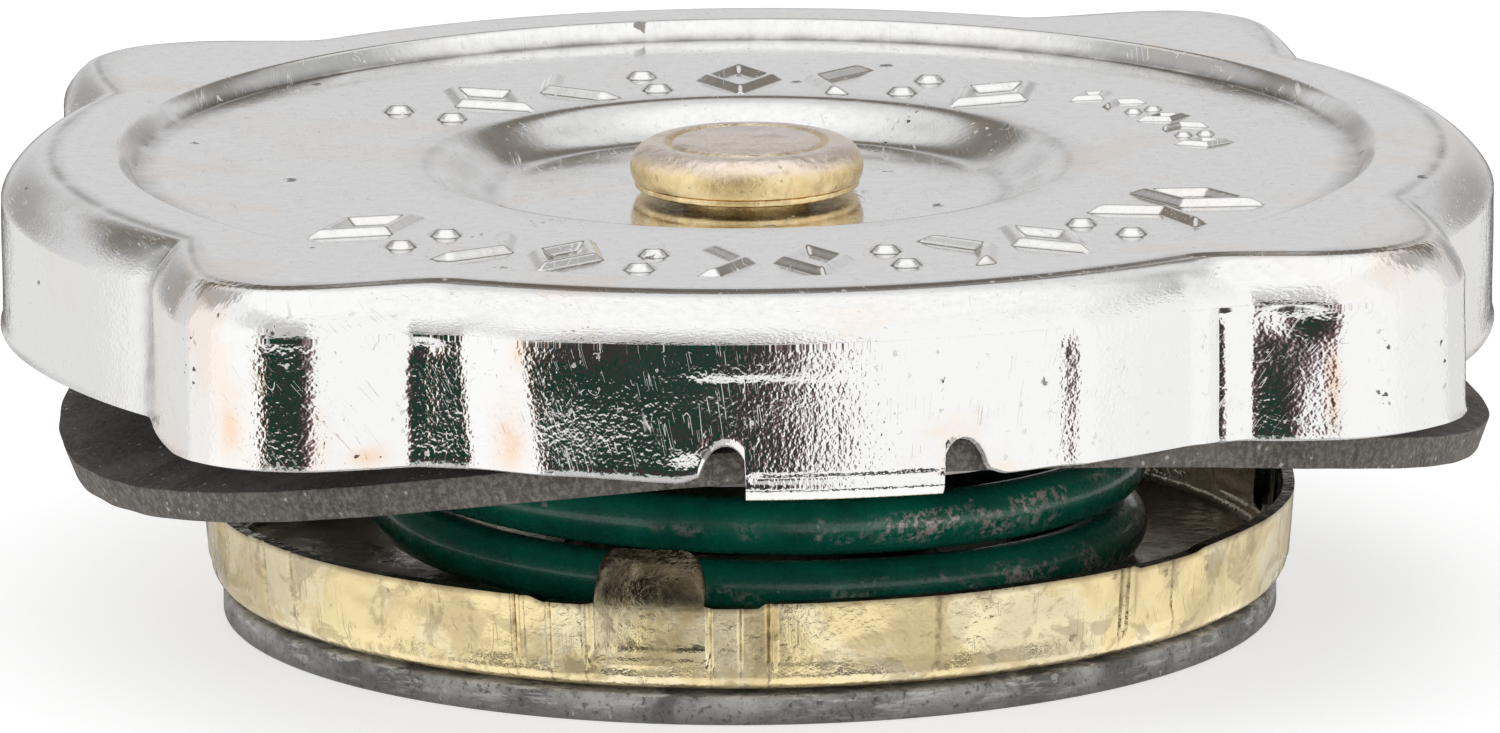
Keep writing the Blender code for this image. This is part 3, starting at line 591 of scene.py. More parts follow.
def gasket_material(settings):
    """Dark brown fibre rubber with a paler, speckled cut edge."""
    made, tree, shader = new_material("gasket_fibre", settings.cut)
    coords = object_coords(tree)
    edge = attribute(tree, "cut_edge")
    grain = noise(tree, coords, 4200.0, 4.0, 0.75)
    cuts = noise(tree, stretch(tree, coords, (1.0, 1.0, 0.25)), 2300.0, 3.0, 0.6)
    broad = noise(tree, coords, 260.0, 4.0, 0.6)
    base = blend_colour(tree, edge, tuple(settings.face), tuple(settings.cut))
    base = blend_colour(tree, remap(tree, grain, 0.42, 0.62, 0.65, 0.0), base, (0.028, 0.024, 0.020))
    base = cover(tree, base, edge, remap(tree, cuts, 0.5, 0.7, 0.0, 0.45), (0.05, 0.044, 0.038))
    base = blend_colour(tree, remap(tree, broad, 0.4, 0.65, 0.0, 0.35), base, (0.23, 0.21, 0.19))
    bright = specks(tree, coords, 3100.0, 0.24)
    base = cover(tree, base, bright, 0.8, (0.62, 0.60, 0.56))
    surface(tree, shader, base, 0.0)
    shader.inputs["Roughness"].default_value = 0.82
    relief(tree, shader, plus(tree, grain, cuts), 0.00009, 1.0)
    return made


def enamel_material(settings):
    """Green enamel rubbed through along the outside of the wire, the pale crest also a painted highlight,
    with dusty specks.
    """
    made, tree, shader = new_material("green_enamel", settings.enamel)
    coords = object_coords(tree)
    rub = smudges(tree, coords, 330.0, 0.46, 0.60)
    fleck = noise(tree, coords, 3400.0, 4.0, 0.75)
    # Rubbed enamel along the crest, pale enough to be a painted highlight as well as wear.
    outside = attribute(tree, "rub")
    crest = remap(tree, outside, 0.86, 0.98)
    worn = times(tree, crest, times(tree, rub, remap(tree, fleck, 0.46, 0.58)))
    nicks = specks(tree, coords, 2200.0, 0.10)
    worn = calc(tree, "MAXIMUM", worn, times(tree, nicks, times(tree, outside, 0.5)))
    shade = blend_colour(tree, remap(tree, noise(tree, coords, 500.0, 4.0), 0.35, 0.7, 0.0, 0.6),
                         tuple(settings.enamel), (0.003, 0.090, 0.060))
    base = blend_colour(tree, worn, shade, tuple(settings.worn))
    surface(tree, shader, base, 0.0)
    link(tree, remap(tree, fleck, 0.3, 0.7, 0.20, 0.40), shader.inputs["Roughness"])
    shader.inputs["Coat Weight"].default_value = 0.7
    shader.inputs["Coat Roughness"].default_value = 0.12
    link(tree, times(tree, worn, 0.4), shader.inputs["Metallic"])
    relief(tree, shader, minus(tree, fleck, times(tree, worn, 0.5)), 0.00005, 0.9)
    return made


def brass_material(settings):
    """Pale brass with blotchy tarnish and rub marks; painted shade in the folds, inside and at the sides; a
    painted dark rim line.
    """
    made, tree, shader = new_material("pale_brass", settings.brass)
    coords = object_coords(tree)
    skin = skin_coords(tree)
    tarnish = smudges(tree, coords, 260.0, 0.42, 0.60)
    bright = smudges(tree, skin, 190.0, 0.50, 0.57)
    darkening = smudges(tree, skin, 620.0, 0.53, 0.60)
    spots = specks(tree, coords, 1700.0, 0.16)
    scratch = scratches(tree, skin, 1300.0)
    inside = attribute(tree, "inside")
    fold_shade = attribute(tree, "fold_shade")
    base = blend_colour(tree, times(tree, tarnish, 0.42), tuple(settings.brass), tuple(settings.tarnish))
    base = cover(tree, base, bright, 0.6, (0.98, 0.88, 0.62))
    base = cover(tree, base, darkening, 0.34, (0.22, 0.16, 0.10))
    # Painted shade in the folds of the wall.
    ragged = remap(tree, noise(tree, coords, 2100.0, 4.0, 0.7), 0.35, 0.6)
    base = blend_colour(tree, times(tree, fold_shade, times(tree, ragged, 0.6)), base, (0.16, 0.11, 0.065))
    base = cover(tree, base, scratch, 0.22, (0.30, 0.23, 0.15))
    # Darker upper wall at the tabs, painted shade towards the sides at +X and -X, and a painted dark line
    # along the rim.
    tab_tone_and_shade = attribute(tree, "tab_tone_and_shade")
    cloud = remap(tree, noise(tree, coords, 900.0, 4.0, 0.7), 0.3, 0.7, 0.75, 1.0)
    base = cover(tree, base, tab_tone_and_shade, cloud, (0.065, 0.052, 0.037))
    # Painted shade on the inner face.
    base = cover(tree, base, inside, 0.80, (0.30, 0.265, 0.235))
    base = cover(tree, base, spots, 0.5, (0.14, 0.10, 0.06))
    surface(tree, shader, base, 1.0)
    rough = plus(tree, remap(tree, tarnish, 0.0, 1.0, 0.20, 0.36), times(tree, scratch, 0.2))
    rough = minus(tree, rough, times(tree, bright, 0.08), clamp=True)
    link(tree, rough, shader.inputs["Roughness"])
    height = plus(tree, noise(tree, coords, 1500.0, 4.0, 0.6), noise(tree, coords, 500.0, 2.0, 0.5))
    height = minus(tree, height, times(tree, scratch, 0.3))
    relief(tree, shader, height, 0.00006, 1.0)
    return made


def seal_material(settings):
    """Grey rubber, chalky and scuffed, darker towards its foot."""
    made, tree, shader = new_material("seal_rubber", settings.rubber)
    coords = object_coords(tree)
    place = add(tree, "ShaderNodeSeparateXYZ", {0: coords}).outputs
    streaks = noise(tree, stretch(tree, coords, (0.25, 0.25, 1.6)), 1500.0, 5.0, 0.7)
    dust = smudges(tree, coords, 420.0, 0.36, 0.66)
    grain = noise(tree, coords, 3600.0, 4.0, 0.75)
    upper = remap(tree, place["Z"], 0.0001, 0.0010, 0.25, 1.0)
    amount = calc(tree, "MAXIMUM", times(tree, dust, 0.8), remap(tree, streaks, 0.48, 0.62))
    amount = times(tree, amount, upper)
    base = blend_colour(tree, amount, tuple(settings.rubber), tuple(settings.dust))
    base = blend_colour(tree, remap(tree, grain, 0.52, 0.68, 0.0, 0.8), base, (0.055, 0.053, 0.052))
    scuffs = specks(tree, coords, 1500.0, 0.2)
    base = cover(tree, base, scuffs, 0.7, (0.60, 0.59, 0.58))
    surface(tree, shader, base, 0.0)
    shader.inputs["Roughness"].default_value = 0.6
    relief(tree, shader, plus(tree, grain, streaks), 0.00008, 1.0)
    return made


def steel_material(settings, name="dull_steel"):
    """Dull steel with soot in patches."""
    made, tree, shader = new_material(name, settings.steel)
    coords = object_coords(tree)
    soot = smudges(tree, coords, 300.0, 0.42, 0.68)
    scratch = scratches(tree, coords, 1100.0)
    base = blend_colour(tree, times(tree, soot, 0.7), tuple(settings.steel), tuple(settings.soot))
    surface(tree, shader, base, 1.0)
    rough = plus(tree, remap(tree, soot, 0.0, 1.0, 0.30, 0.55), times(tree, scratch, 0.15))
    link(tree, rough, shader.inputs["Roughness"])
    relief(tree, shader, minus(tree, soot, scratch), 0.00002, 0.6)
    return made


# Shell: angles in degrees, lengths in metres

NOTCH_ANGLE, LUG_HALF_ANGLE = 4.4, 7.4
NOTCH_TOP_DEPTH = 0.0055
SHOULDER_DROP = 0.0017
SHOULDER_FULLNESS = 1.45
SKIRT_FLARE = 0.00012
EAR_RISE = 0.0042
LAND_EDGE_WIDTH, LAND_EDGE_DROP = 0.00042, 0.00008
HEM_HEIGHT, HEM_FLARE = 0.00042, 0.00008
STEP_RADIUS, STEP_WIDTH, STEP_DEPTH = 0.0249, 0.0010, 0.0007
FLANK_ANGLES = (0, 28.4, 29.0, 32.7, 33.4, 38.2, 39.0, 42.0, 45.0)
FLANK_SLOPES = (0, 0, 0.10, 0.11, 0.47, 0.46, 0.34, 0.17, 0.0)
NEAR_SHIFT = 1.0
LUG_TURN = -0.45
DISH_RADIUS, DISH_FLOOR_RADIUS, DISH_DEPTH = 0.0129, 0.0098, 0.00195
HOLE_RADIUS, FLOOR_ROWS_RADIUS, PLATE_ROWS_RADIUS = 0.0026, 0.0094, 0.0139
# Rows of points over the land, and down the shoulder
LAND_ROWS, SHOULDER_ROWS = 11, 24
# Length of the flattened sheet, from the axis, where the shoulder ends and the skirt's wall starts
WALL_REACH = 0.0335
LUG_BEND = 0.0006
TONGUE_LENGTH = 0.0032

# Pitted patches of the skirt: angle and half width in degrees, depth and half height in millimetres
PITTED = (
    (-41.8, 2.0, 1.3, 0.6), (-44.4, 0.5, 0.9, 0.3), (-47.0, 0.7, 3.0, 1.6), (-35.6, 1.2, 6.3, 0.3),
    (39.7, 0.7, 4.4, 1.7), (44.7, 0.5, 4.2, 1.5), (42.4, 0.3, 3.4, 0.5), (-20.0, 1.6, 1.3, 0.3),
    (139.0, 2.0, 1.6, 0.8), (222.0, 1.4, 3.0, 1.6),
)
# Warm stained patches of the skirt, given in the same way
WARM = (
    (-25.4, 1.1, 5.4, 1.4), (-43.4, 0.8, 4.9, 1.2), (-35.4, 0.9, 6.3, 0.4), (36.7, 0.3, 4.6, 1.8),
    (-24.6, 0.5, 2.2, 0.5),
)
# Dimples and swellings of the skirt, given in the same way, each with its push outwards in metres
DIMPLES = (
    (34.6, 1.5, 2.2, 0.70, -0.00026), (-32.0, 1.0, 2.2, 0.22, -0.00012), (30.6, 0.9, 2.0, 0.24, -0.00012),
    (-12.0, 1.6, 5.6, 0.7, 0.00010),
)
# Leaning crease beside the left ear and upright one beside the right: angles, and shares of the crease depth
LEFT_CREASE = ((-29.0, -28.6, -24.4, -23.8, -14.0, -12.0), (0, 0.02, 0.96, 1, 0.06, 0))
RIGHT_CREASE = ((15.6, 15.9, 17.9, 18.3, 27.0), (0, 0.06, 1.16, 1.2, 0))
# Fall of an ear past its tip: angle from the lug, and share of its rise
EAR_FALL = ((45.3, 47.0, 49.0, 57.4, 58.7, 59.3), (1.0, 0.97, 0.86, 0.12, 0.015, 0.0))
# Valley beside each ear, at the right and the left, and the groove across a lug
RIGHT_VALLEY, LEFT_VALLEY, VALLEY = 58.3, -58.9, 58.9
LUG_GROOVE_DEPTH, LUG_GROOVE = 3.30, 0.00005


def patches(places, side, depth):
    """1 in the middle of each given patch, fading round it."""
    total = sum(bump(at, wide, side) * bump(down, tall, depth) for at, wide, down, tall in places)
    return list(np.clip(total, 0, 1))


def from_lug(angle):
    """Angle to the nearer lug, 0 to 90 degrees."""
    return np.round(np.abs((np.asarray(angle, float) + 90) % 180 - 90), 6)


def from_ear_side(angle):
    """Signed angle to the nearer lug, -90 to 90 degrees."""
    return (np.asarray(angle, float) + 90) % 180 - 90


def ear_fade(angle):
    """1 up to the ear's tip, then down to 0 in a crease on its far side."""
    return np.interp(from_lug(angle), *EAR_FALL)


def flank(angle):
    """Angle from the lug along an ear's near flank; the right flanks start a little sooner."""
    away = from_lug(angle)
    return away + NEAR_SHIFT * (from_ear_side(angle) > 0) * smooth(8, 24, away) * (1 - smooth(37, 45, away))


def wall_radius(s, angle):
    """Outer radius of the skirt: round, with four ears."""
    steps = np.linspace(0, 45, 451)
    rise = np.cumsum(np.interp(steps, FLANK_ANGLES, FLANK_SLOPES))
    rise = EAR_RISE * np.interp(flank(angle), steps, rise / rise[-1])
    return s.body_radius + rise * ear_fade(angle)


def land_edge(s, angle):
    """Radius where the flat land turns into the shoulder."""
    return s.land_radius + 0.0046 * smooth(31.0, 44.0, flank(angle)) * ear_fade(angle)


def skirt_edge(s, angle):
    """Height of the skirt's raw edge: notched beside each lug, with a lip past the notch."""
    past = (from_lug(angle - LUG_TURN) - LUG_HALF_ANGLE) / NOTCH_ANGLE
    top = s.height - NOTCH_TOP_DEPTH
    low = s.height - s.skirt_depth - 0.0001 * np.sin(np.radians(angle)) - 0.00015 * (1 - smooth(1, 3, past))
    arch = np.sqrt(np.clip(1 - (np.clip(past - 0.34, 0, 1) / 0.42) ** 2, 0, 1))
    arch = np.where(past < 0.34, np.sqrt(np.clip(1 - (np.clip(0.34 - past, 0, 1) / 0.40) ** 2, 0, 1)), arch)
    round_foot = 0.18 * (1 - smooth(0.70, 1.15, past)) * (past > 0.6)
    return low + (top - low) * np.maximum(arch, round_foot)


def shell_grid(s, angle):
    """Outer face, as (radius, height) arrays of rows for each column angle."""
    plate = s.height - STEP_DEPTH
    floor = s.height - DISH_DEPTH
    angle = angle[:, None]
    fixed = np.concatenate([
        np.linspace(HOLE_RADIUS, FLOOR_ROWS_RADIUS, 6),
        np.linspace(DISH_FLOOR_RADIUS, DISH_RADIUS, 13),
        np.linspace(PLATE_ROWS_RADIUS, STEP_RADIUS - STEP_WIDTH, 12),
        np.linspace(STEP_RADIUS - STEP_WIDTH, STEP_RADIUS, 13)[1:],
    ])[None, :]
    high = floor + (plate - floor) * smooth(DISH_FLOOR_RADIUS, DISH_RADIUS, fixed)
    high = high + STEP_DEPTH * smooth(STEP_RADIUS - STEP_WIDTH, STEP_RADIUS, fixed)
    radius = np.repeat(fixed, len(angle), 0)
    high = np.repeat(high, len(angle), 0)
    land, wall = land_edge(s, angle), wall_radius(s, angle)
    part = np.linspace(0, 1, 7)[1:][None, :]
    radius = np.hstack([radius, STEP_RADIUS + (land - STEP_RADIUS) * part])
    high = np.hstack([high, np.full((len(angle), 6), s.height)])
    part = np.array([[0.25, 0.5, 0.75, 1.0]])
    radius = np.hstack([radius, land + LAND_EDGE_WIDTH * part])
    high = np.hstack([high, s.height - LAND_EDGE_DROP * part + 0 * land])
    land = land + LAND_EDGE_WIDTH
    turn = np.radians(np.linspace(0, 90, SHOULDER_ROWS + 1)[1:])[None, :]
    across = np.sin(turn) ** (2 / SHOULDER_FULLNESS)
    down = 1 - np.clip(np.cos(turn), 0, 1) ** (2 / SHOULDER_FULLNESS)
    radius = np.hstack([radius, land + (wall - land) * across])
    high = np.hstack([high, s.height - LAND_EDGE_DROP - (SHOULDER_DROP - LAND_EDGE_DROP) * down + 0 * land])
    on_lug = from_lug(angle - LUG_TURN) <= LUG_HALF_ANGLE + 1e-4
    edge = np.where(on_lug, s.height - s.lug_depth + LUG_BEND, skirt_edge(s, angle))
    part = np.append(np.linspace(0, 0.88, 24), [0.90, 0.92, 0.935, 0.95, 0.965, 0.98, 1.0])[1:][None, :]
    start = s.height - SHOULDER_DROP
    down = start + (edge - start) * part
    deep = (start - down) / s.skirt_depth
    hem = HEM_FLARE * np.clip(1 - (down - edge) / HEM_HEIGHT, 0, 1) ** 2 * np.where(on_lug, 0, 1)
    flare = SKIRT_FLARE * (1 - 0.9 * smooth(9, 20, from_lug(angle)))
    radius = np.hstack([radius, wall + flare * deep + hem])
    high = np.hstack([high, down])
    return radius, high


def dents(s, angle, high):
    """Outward push of the skirt: waves, creases and the marks of the press."""
    depth = (s.height - high) * 1000
    on_wall = smooth(0.5, 2.6, depth)
    side = signed(angle)
    push = s.dent_depth * ripple(11, angle, high, 7, 16)
    lean = side - 0.30 * (depth - 4)
    push = push + s.crease * np.interp(lean, *LEFT_CREASE)
    push = push + 1.2 * s.crease * np.interp(side, *RIGHT_CREASE)
    push = push - 0.00022 * bump(29.9, 0.34, side) * smooth(1.2, 2.0, depth)
    ridge = 1.45 + 0.22 * np.sin(np.radians(side) * 9 + 1.0) + 0.12 * np.sin(np.radians(side) * 23)
    push = push + 0.00004 * bump(ridge, 0.36, depth) * (0.6 + 0.4 * np.sin(np.radians(side) * 14))
    push = push + 0.00009 * bump(34.4, 1.2, side) * smooth(3.6, 6.2, depth)
    on_lug = 1 - smooth(LUG_HALF_ANGLE - 0.5, LUG_HALF_ANGLE, from_lug(angle - LUG_TURN))
    push = push - 0.00007 * bump(1000 * s.lug_depth - 0.92, 0.15, depth) * on_lug
    push = push + sum(
        height * bump(at, wide, side) * bump(down, tall, depth) for at, wide, down, tall, height in DIMPLES
    )
    over_lug = smooth(-14, -10, side) * (1 - smooth(5.5, 9, side))
    push = push - LUG_GROOVE * bump(LUG_GROOVE_DEPTH + 0.012 * side, 0.15, depth) * over_lug
    pinch = bump(RIGHT_VALLEY, 1.0, side) + bump(LEFT_VALLEY, 1.0, side)
    return push * on_wall - 0.00010 * pinch * smooth(0.1, 0.6, depth) * (1 - smooth(2.5, 5.0, depth))


def build_shell(s, material):
    """The pressed shell as one closed sheet with a fine outer face and a plainer inner face."""
    fine = np.arange(0, 360, 0.6)
    near = np.concatenate([[0, 0.02, 0.06], np.linspace(0.1, 1.4, 14)]) * NOTCH_ANGLE + LUG_HALF_ANGLE
    special = np.concatenate([lug + LUG_TURN + side * near for lug in (0, 180) for side in (-1, 1)]) % 360
    angle = np.unique(np.round(np.concatenate([fine, special]), 5))
    radius, high = shell_grid(s, angle)
    rows = radius.shape[1]
    radius = radius + dents(s, angle[:, None], high)
    lug = from_lug(angle - LUG_TURN) <= LUG_HALF_ANGLE + 1e-4
    turn = np.radians(angle)

    def place(column_radius, column_high, at):
        return (column_radius * math.sin(at), -column_radius * math.cos(at), column_high)

    fixed = radius[0]
    # Painted shade in rings at the foot of the step and at the dish's two edges.
    darkening = 0.9 * bump(STEP_RADIUS - 0.90 * STEP_WIDTH, 0.00022, fixed)
    darkening = darkening + 0.45 * bump(DISH_RADIUS - 0.0003, 0.0003, fixed)
    darkening = darkening + 0.5 * bump(DISH_FLOOR_RADIUS + 0.0003, 0.00035, fixed)
    plate_rows = int(np.argmax(fixed > STEP_RADIUS - 1e-6))
    land_row = plate_rows + LAND_ROWS
    wall_row = land_row + SHOULDER_ROWS
    verts, skin, crease_shade, pitted, warm, columns = [], [], [], [], [], []
    coarse = sorted({0, 5, *range(6, 19, 3), 21, 30, *range(31, 43, 3), *range(43, rows - 1, 3), rows - 1})
    for i, at in enumerate(turn):
        outer = [(radius[i, k], high[i, k]) for k in range(rows)]
        if lug[i]:
            last_r, last_z = outer[-1]
            centre = (last_r - LUG_BEND, last_z)
            outer += arc(centre, LUG_BEND, 0, -90, 6)[1:]
            bottom = outer[-1]
            outer += [(bottom[0] - (TONGUE_LENGTH - LUG_BEND) * t, bottom[1]) for t in (0.5, 1.0)]
        keep = coarse + list(range(rows, len(outer)))
        path = np.array(outer)
        ahead = np.gradient(path, axis=0)
        ahead /= np.linalg.norm(ahead, axis=1)[:, None] + 1e-12
        normal = np.stack([ahead[:, 1], -ahead[:, 0]], 1)
        inner = path + normal * s.sheet
        along = np.concatenate([[0], np.cumsum(np.linalg.norm(np.diff(path, axis=0), axis=1))])
        along = WALL_REACH + along - along[wall_row]
        along[:land_row] = path[:land_row, 0]
        along[land_row:wall_row] = np.linspace(path[land_row, 0], WALL_REACH, wall_row - land_row)
        column = [len(verts) + k for k in range(len(outer))]
        verts += [place(r, z, at) for r, z in outer]
        skin += [place(reach, 0, at) for reach in along]
        # Painted shade along the land's edge and in the valley beside each ear.
        border = bump(land_edge(s, angle[i]) + 0.5 * LAND_EDGE_WIDTH, 0.00022, path[:, 0])
        border = border * (path[:, 1] > s.height - 0.0004)
        valley = bump(VALLEY, 0.9, from_lug(angle[i])) * smooth(0.0, 0.0012, s.height - path[:, 1]) * 0.7
        own = 0.75 * border + valley
        own[:plate_rows] = darkening[:plate_rows]
        crease_shade += list(own)
        side, depth = signed(angle[i]), (s.height - path[:, 1]) * 1000
        pitted += patches(PITTED, side, depth) + [0.0] * len(keep)
        warm += patches(WARM, side, depth) + [0.0] * len(keep)
        under = [len(verts) + k for k in range(len(keep))]
        verts += [place(inner[k][0], inner[k][1], at) for k in keep]
        crease_shade += [0.0] * len(keep)
        skin += [place(along[k], 0.01, at) for k in keep]
        columns.append((column, under, len(outer) - rows))
    faces = []
    total = len(columns)
    for i in range(total):
        a, b = columns[i], columns[(i + 1) % total]
        extra = min(a[2], b[2])
        for k in range(rows + extra - 1):
            faces.append((a[0][k], a[0][k + 1], b[0][k + 1], b[0][k]))
        inner_rows = len(a[1]) - a[2] + extra
        for k in range(inner_rows - 1):
            faces.append((a[1][k + 1], a[1][k], b[1][k], b[1][k + 1]))
        faces.append((a[0][0], b[0][0], b[1][0], a[1][0]))
        last = rows + extra - 1
        faces.append((a[0][last], a[1][inner_rows - 1], b[1][inner_rows - 1], b[0][last]))
        for own, flip in ((a, False), (b, True)):
            if own[2] > extra:
                for k in range(own[2]):
                    low = rows + k
                    far = inner_rows + k
                    quad = (own[0][low - 1], own[0][low], own[1][far], own[1][far - 1])
                    faces.append(quad if flip else quad[::-1])
    layers = {"skin": skin, "crease_shade": crease_shade, "pitted": pitted, "warm": warm}
    return mesh_object("shell_pressing", verts, faces, material, 38, layers)


# Operators, one for each piece or group

def settings_of(name):
    """The scene's settings of one group."""
    return getattr(bpy.context.scene, name)


class CAP_OT_shell(bpy.types.Operator):
    """Builds the pressed shell"""

    bl_idname = "cap.shell"
    bl_label = "Shell"

    def execute(self, context):
        s = settings_of("cap_shell")
        made = build_shell(s, plating_material(s))
        seat(made, "shell", "nickel_plate", "cap_shell")
        return {"FINISHED"}


# Raised marks: flat border of a patch, how far it sinks into the plate, its thickness and its rows of points
MARK_MARGIN, MARK_SINK, MARK_SHEET, MARK_GRID = 0.0006, 0.000004, 0.0001, (46, 68)
# Arcs of marks: middle and spacing in degrees
FRONT_ARC, BACK_ARC, SMALL_ARC = (0.0, 9.6), (180.0, 13.2), (107.0, 5.4)
# Small arc at the right: radius, number of marks, width and reach of a mark, and share of the others' height
SMALL_RADIUS, SMALL_NUMBER, SMALL_WIDTH, SMALL_REACH, SMALL_SHARE = 0.0182, 7, 0.0013, 0.0019, 0.6


class CAP_OT_marks(bpy.types.Operator):
    """Presses the raised marks into the plate"""

    bl_idname = "cap.marks"
    bl_label = "Raised marks"

    def execute(self, context):
        s = settings_of("cap_marks")
        level = settings_of("cap_shell").height - STEP_DEPTH
        tree = marks_tree("raised_marks")
        arcs = (
            ("front_marks", s.front_radius, FRONT_ARC, s.front_number, s.width, s.reach, 1.0),
            ("back_marks", s.back_radius, BACK_ARC, s.back_number, 1.1 * s.width, s.reach, 1.0),
            ("small_marks", SMALL_RADIUS, SMALL_ARC, SMALL_NUMBER, SMALL_WIDTH, SMALL_REACH, SMALL_SHARE),
        )
        for name, radius, spread, number, width, reach, size in arcs:
            middle, spacing = (math.radians(angle) for angle in spread)
            made = from_nodes(name, tree, {
                "Height": size * s.height, "Reach": reach, "Width": width, "Stroke": size * s.stroke,
                "Radius": radius, "Middle": middle, "Spacing": spacing,
                "Level": level, "Number": number, "Material": bpy.data.materials["bright_plating"],
            })
            seat(made, "shell", "nickel_plate")
        return {"FINISHED"}


# Rivet: rounding of the head, half width and depth of its groove, and the shank with its foot
HEAD_ROUND, GROOVE_HALF_WIDTH, GROOVE_DEPTH = 0.0010, 0.00022, 0.00012
SHANK_RADIUS, FOOT_RADIUS, FOOT_HEIGHT = 0.0025, 0.0033, 0.0005


class CAP_OT_rivet(bpy.types.Operator):
    """Builds the centre rivet"""

    bl_idname = "cap.rivet"
    bl_label = "Rivet"

    def execute(self, context):
        s = settings_of("cap_rivet")
        shell = settings_of("cap_shell")
        top = shell.height + 0.0001
        foot = shell.height - DISH_DEPTH + SEAT_GAP
        groove = GROOVE_HALF_WIDTH
        head = [(0, top - 0.00002), (0.4 * s.ring_radius, top - 0.00001)]
        head += [(s.ring_radius - groove, top)]
        slope = 0.75 * GROOVE_DEPTH
        head += [(s.ring_radius - 0.4 * groove, top - slope), (s.ring_radius, top - GROOVE_DEPTH)]
        head += [(s.ring_radius + 0.4 * groove, top - slope), (s.ring_radius + groove, top)]
        head += arc((s.head_radius - HEAD_ROUND, top - HEAD_ROUND), HEAD_ROUND, 90, -28, 18)
        head += [(s.head_radius - 0.00024, foot + 0.00042), (s.head_radius - 0.00026, foot + 0.00034)]
        head += arc((s.head_radius - 0.00033, foot + 0.00017), 0.00017, 60, -90, 8)
        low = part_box("centre_rivet")[0].z
        tail = [(SHANK_RADIUS, foot), (SHANK_RADIUS, low + FOOT_HEIGHT), (FOOT_RADIUS, low + FOOT_HEIGHT)]
        tail += [(FOOT_RADIUS - 0.0005, low), (0, low)]
        made = spin("rivet_turned", head + tail, rivet_material(s), 160, 50)
        seat(made, "shell", "yellow_zinc", "centre_rivet")
        return {"FINISHED"}


# Gasket: radius of its hole, shift of its bow towards +X, turn of the bow in degrees, and points round it
GASKET_HOLE, BOW_SHIFT, BOW_TURN, GASKET_SEGMENTS = 0.0060, 0.0010, 2.7, 360


class CAP_OT_gasket(bpy.types.Operator):
    """Builds the bowed neck gasket"""

    bl_idname = "cap.gasket"
    bl_label = "Neck gasket"

    def execute(self, context):
        s = settings_of("cap_gasket")
        shell = settings_of("cap_shell")
        outer = shell.body_radius - s.clearance
        bottom = shell.height - shell.lug_depth + shell.sheet + SEAT_GAP
        segments = GASKET_SEGMENTS
        around = np.linspace(0, 2 * math.pi, segments, endpoint=False)
        rough = 0.00003 * ripple(5, np.degrees(around), np.zeros(segments), 9, 60)
        ring = []
        for part, layer, edge in (
            [(t, 0.0, 0) for t in np.linspace(0, 1, 9)[:-1]] + [(0.999, 0.0, 0.3)]
            + [(1.0, h * s.thickness, 1) for h in (0.03, 0.25, 0.5, 0.75, 0.97)]
            + [(0.999, s.thickness, 0.3)] + [(t, s.thickness, 0) for t in np.linspace(0, 1, 9)[-2::-1]]
        ):
            radius = GASKET_HOLE + (outer - GASKET_HOLE) * part + rough * (part > 0.99)
            bend = radius * np.cos(around) / s.bow_radius
            x = BOW_SHIFT + (s.bow_radius + layer) * np.sin(bend)
            z = bottom + (s.bow_radius + layer) * np.cos(bend) - s.bow_radius
            ring.append((np.stack([x, radius * np.sin(around), z], 1), edge))
        turn = math.radians(BOW_TURN)
        sine, cosine = math.sin(turn), math.cos(turn)
        spun = np.array([[cosine, -sine, 0], [sine, cosine, 0], [0, 0, 1]])
        verts = np.concatenate([points @ spun.T for points, _ in ring])
        mask = np.concatenate([np.full(segments, edge) for _, edge in ring])
        faces = []
        rows = len(ring)
        for k in range(rows):
            for i in range(segments):
                j = (i + 1) % segments
                n = (k + 1) % rows
                faces.append((k * segments + i, k * segments + j, n * segments + j, n * segments + i))
        made = mesh_object("gasket_bowed", verts, faces, gasket_material(s), 40, {"cut_edge": mask})
        seat(made, "shell", "gasket_fibre", "neck_gasket")
        return {"FINISHED"}


def open_tree(name, numbers, counts):
    """A Geometry Nodes tree with named number, count and material inputs. Returns it and its inputs."""
    tree = bpy.data.node_groups.new(name, "GeometryNodeTree")
    tree.interface.new_socket("Geometry", in_out="OUTPUT", socket_type="NodeSocketGeometry")
    for kind, labels in (("Float", numbers), ("Int", counts), ("Material", ["Material"])):
        for label in labels:
            tree.interface.new_socket(label, in_out="INPUT", socket_type="NodeSocket" + kind)
    return tree, tree.nodes.new("NodeGroupInput").outputs


def close_tree(tree, shape, name, value, kind, material):
    """Makes the shape real, stores an attribute on its points, smooths it and gives it its material."""
    real = add(tree, "GeometryNodeRealizeInstances", {"Geometry": shape}).outputs[0]
    stored = add(
        tree, "GeometryNodeStoreNamedAttribute", {"Geometry": real, "Name": name, "Value": value},
        data_type=kind, domain="POINT",
    ).outputs[0]
    smoothed = add(tree, "GeometryNodeSetShadeSmooth", {"Geometry": stored, "Shade Smooth": True})
    done = add(tree, "GeometryNodeSetMaterial", {"Geometry": smoothed.outputs[0], "Material": material})
    tree.links.new(done.outputs[0], tree.nodes.new("NodeGroupOutput").inputs[0])


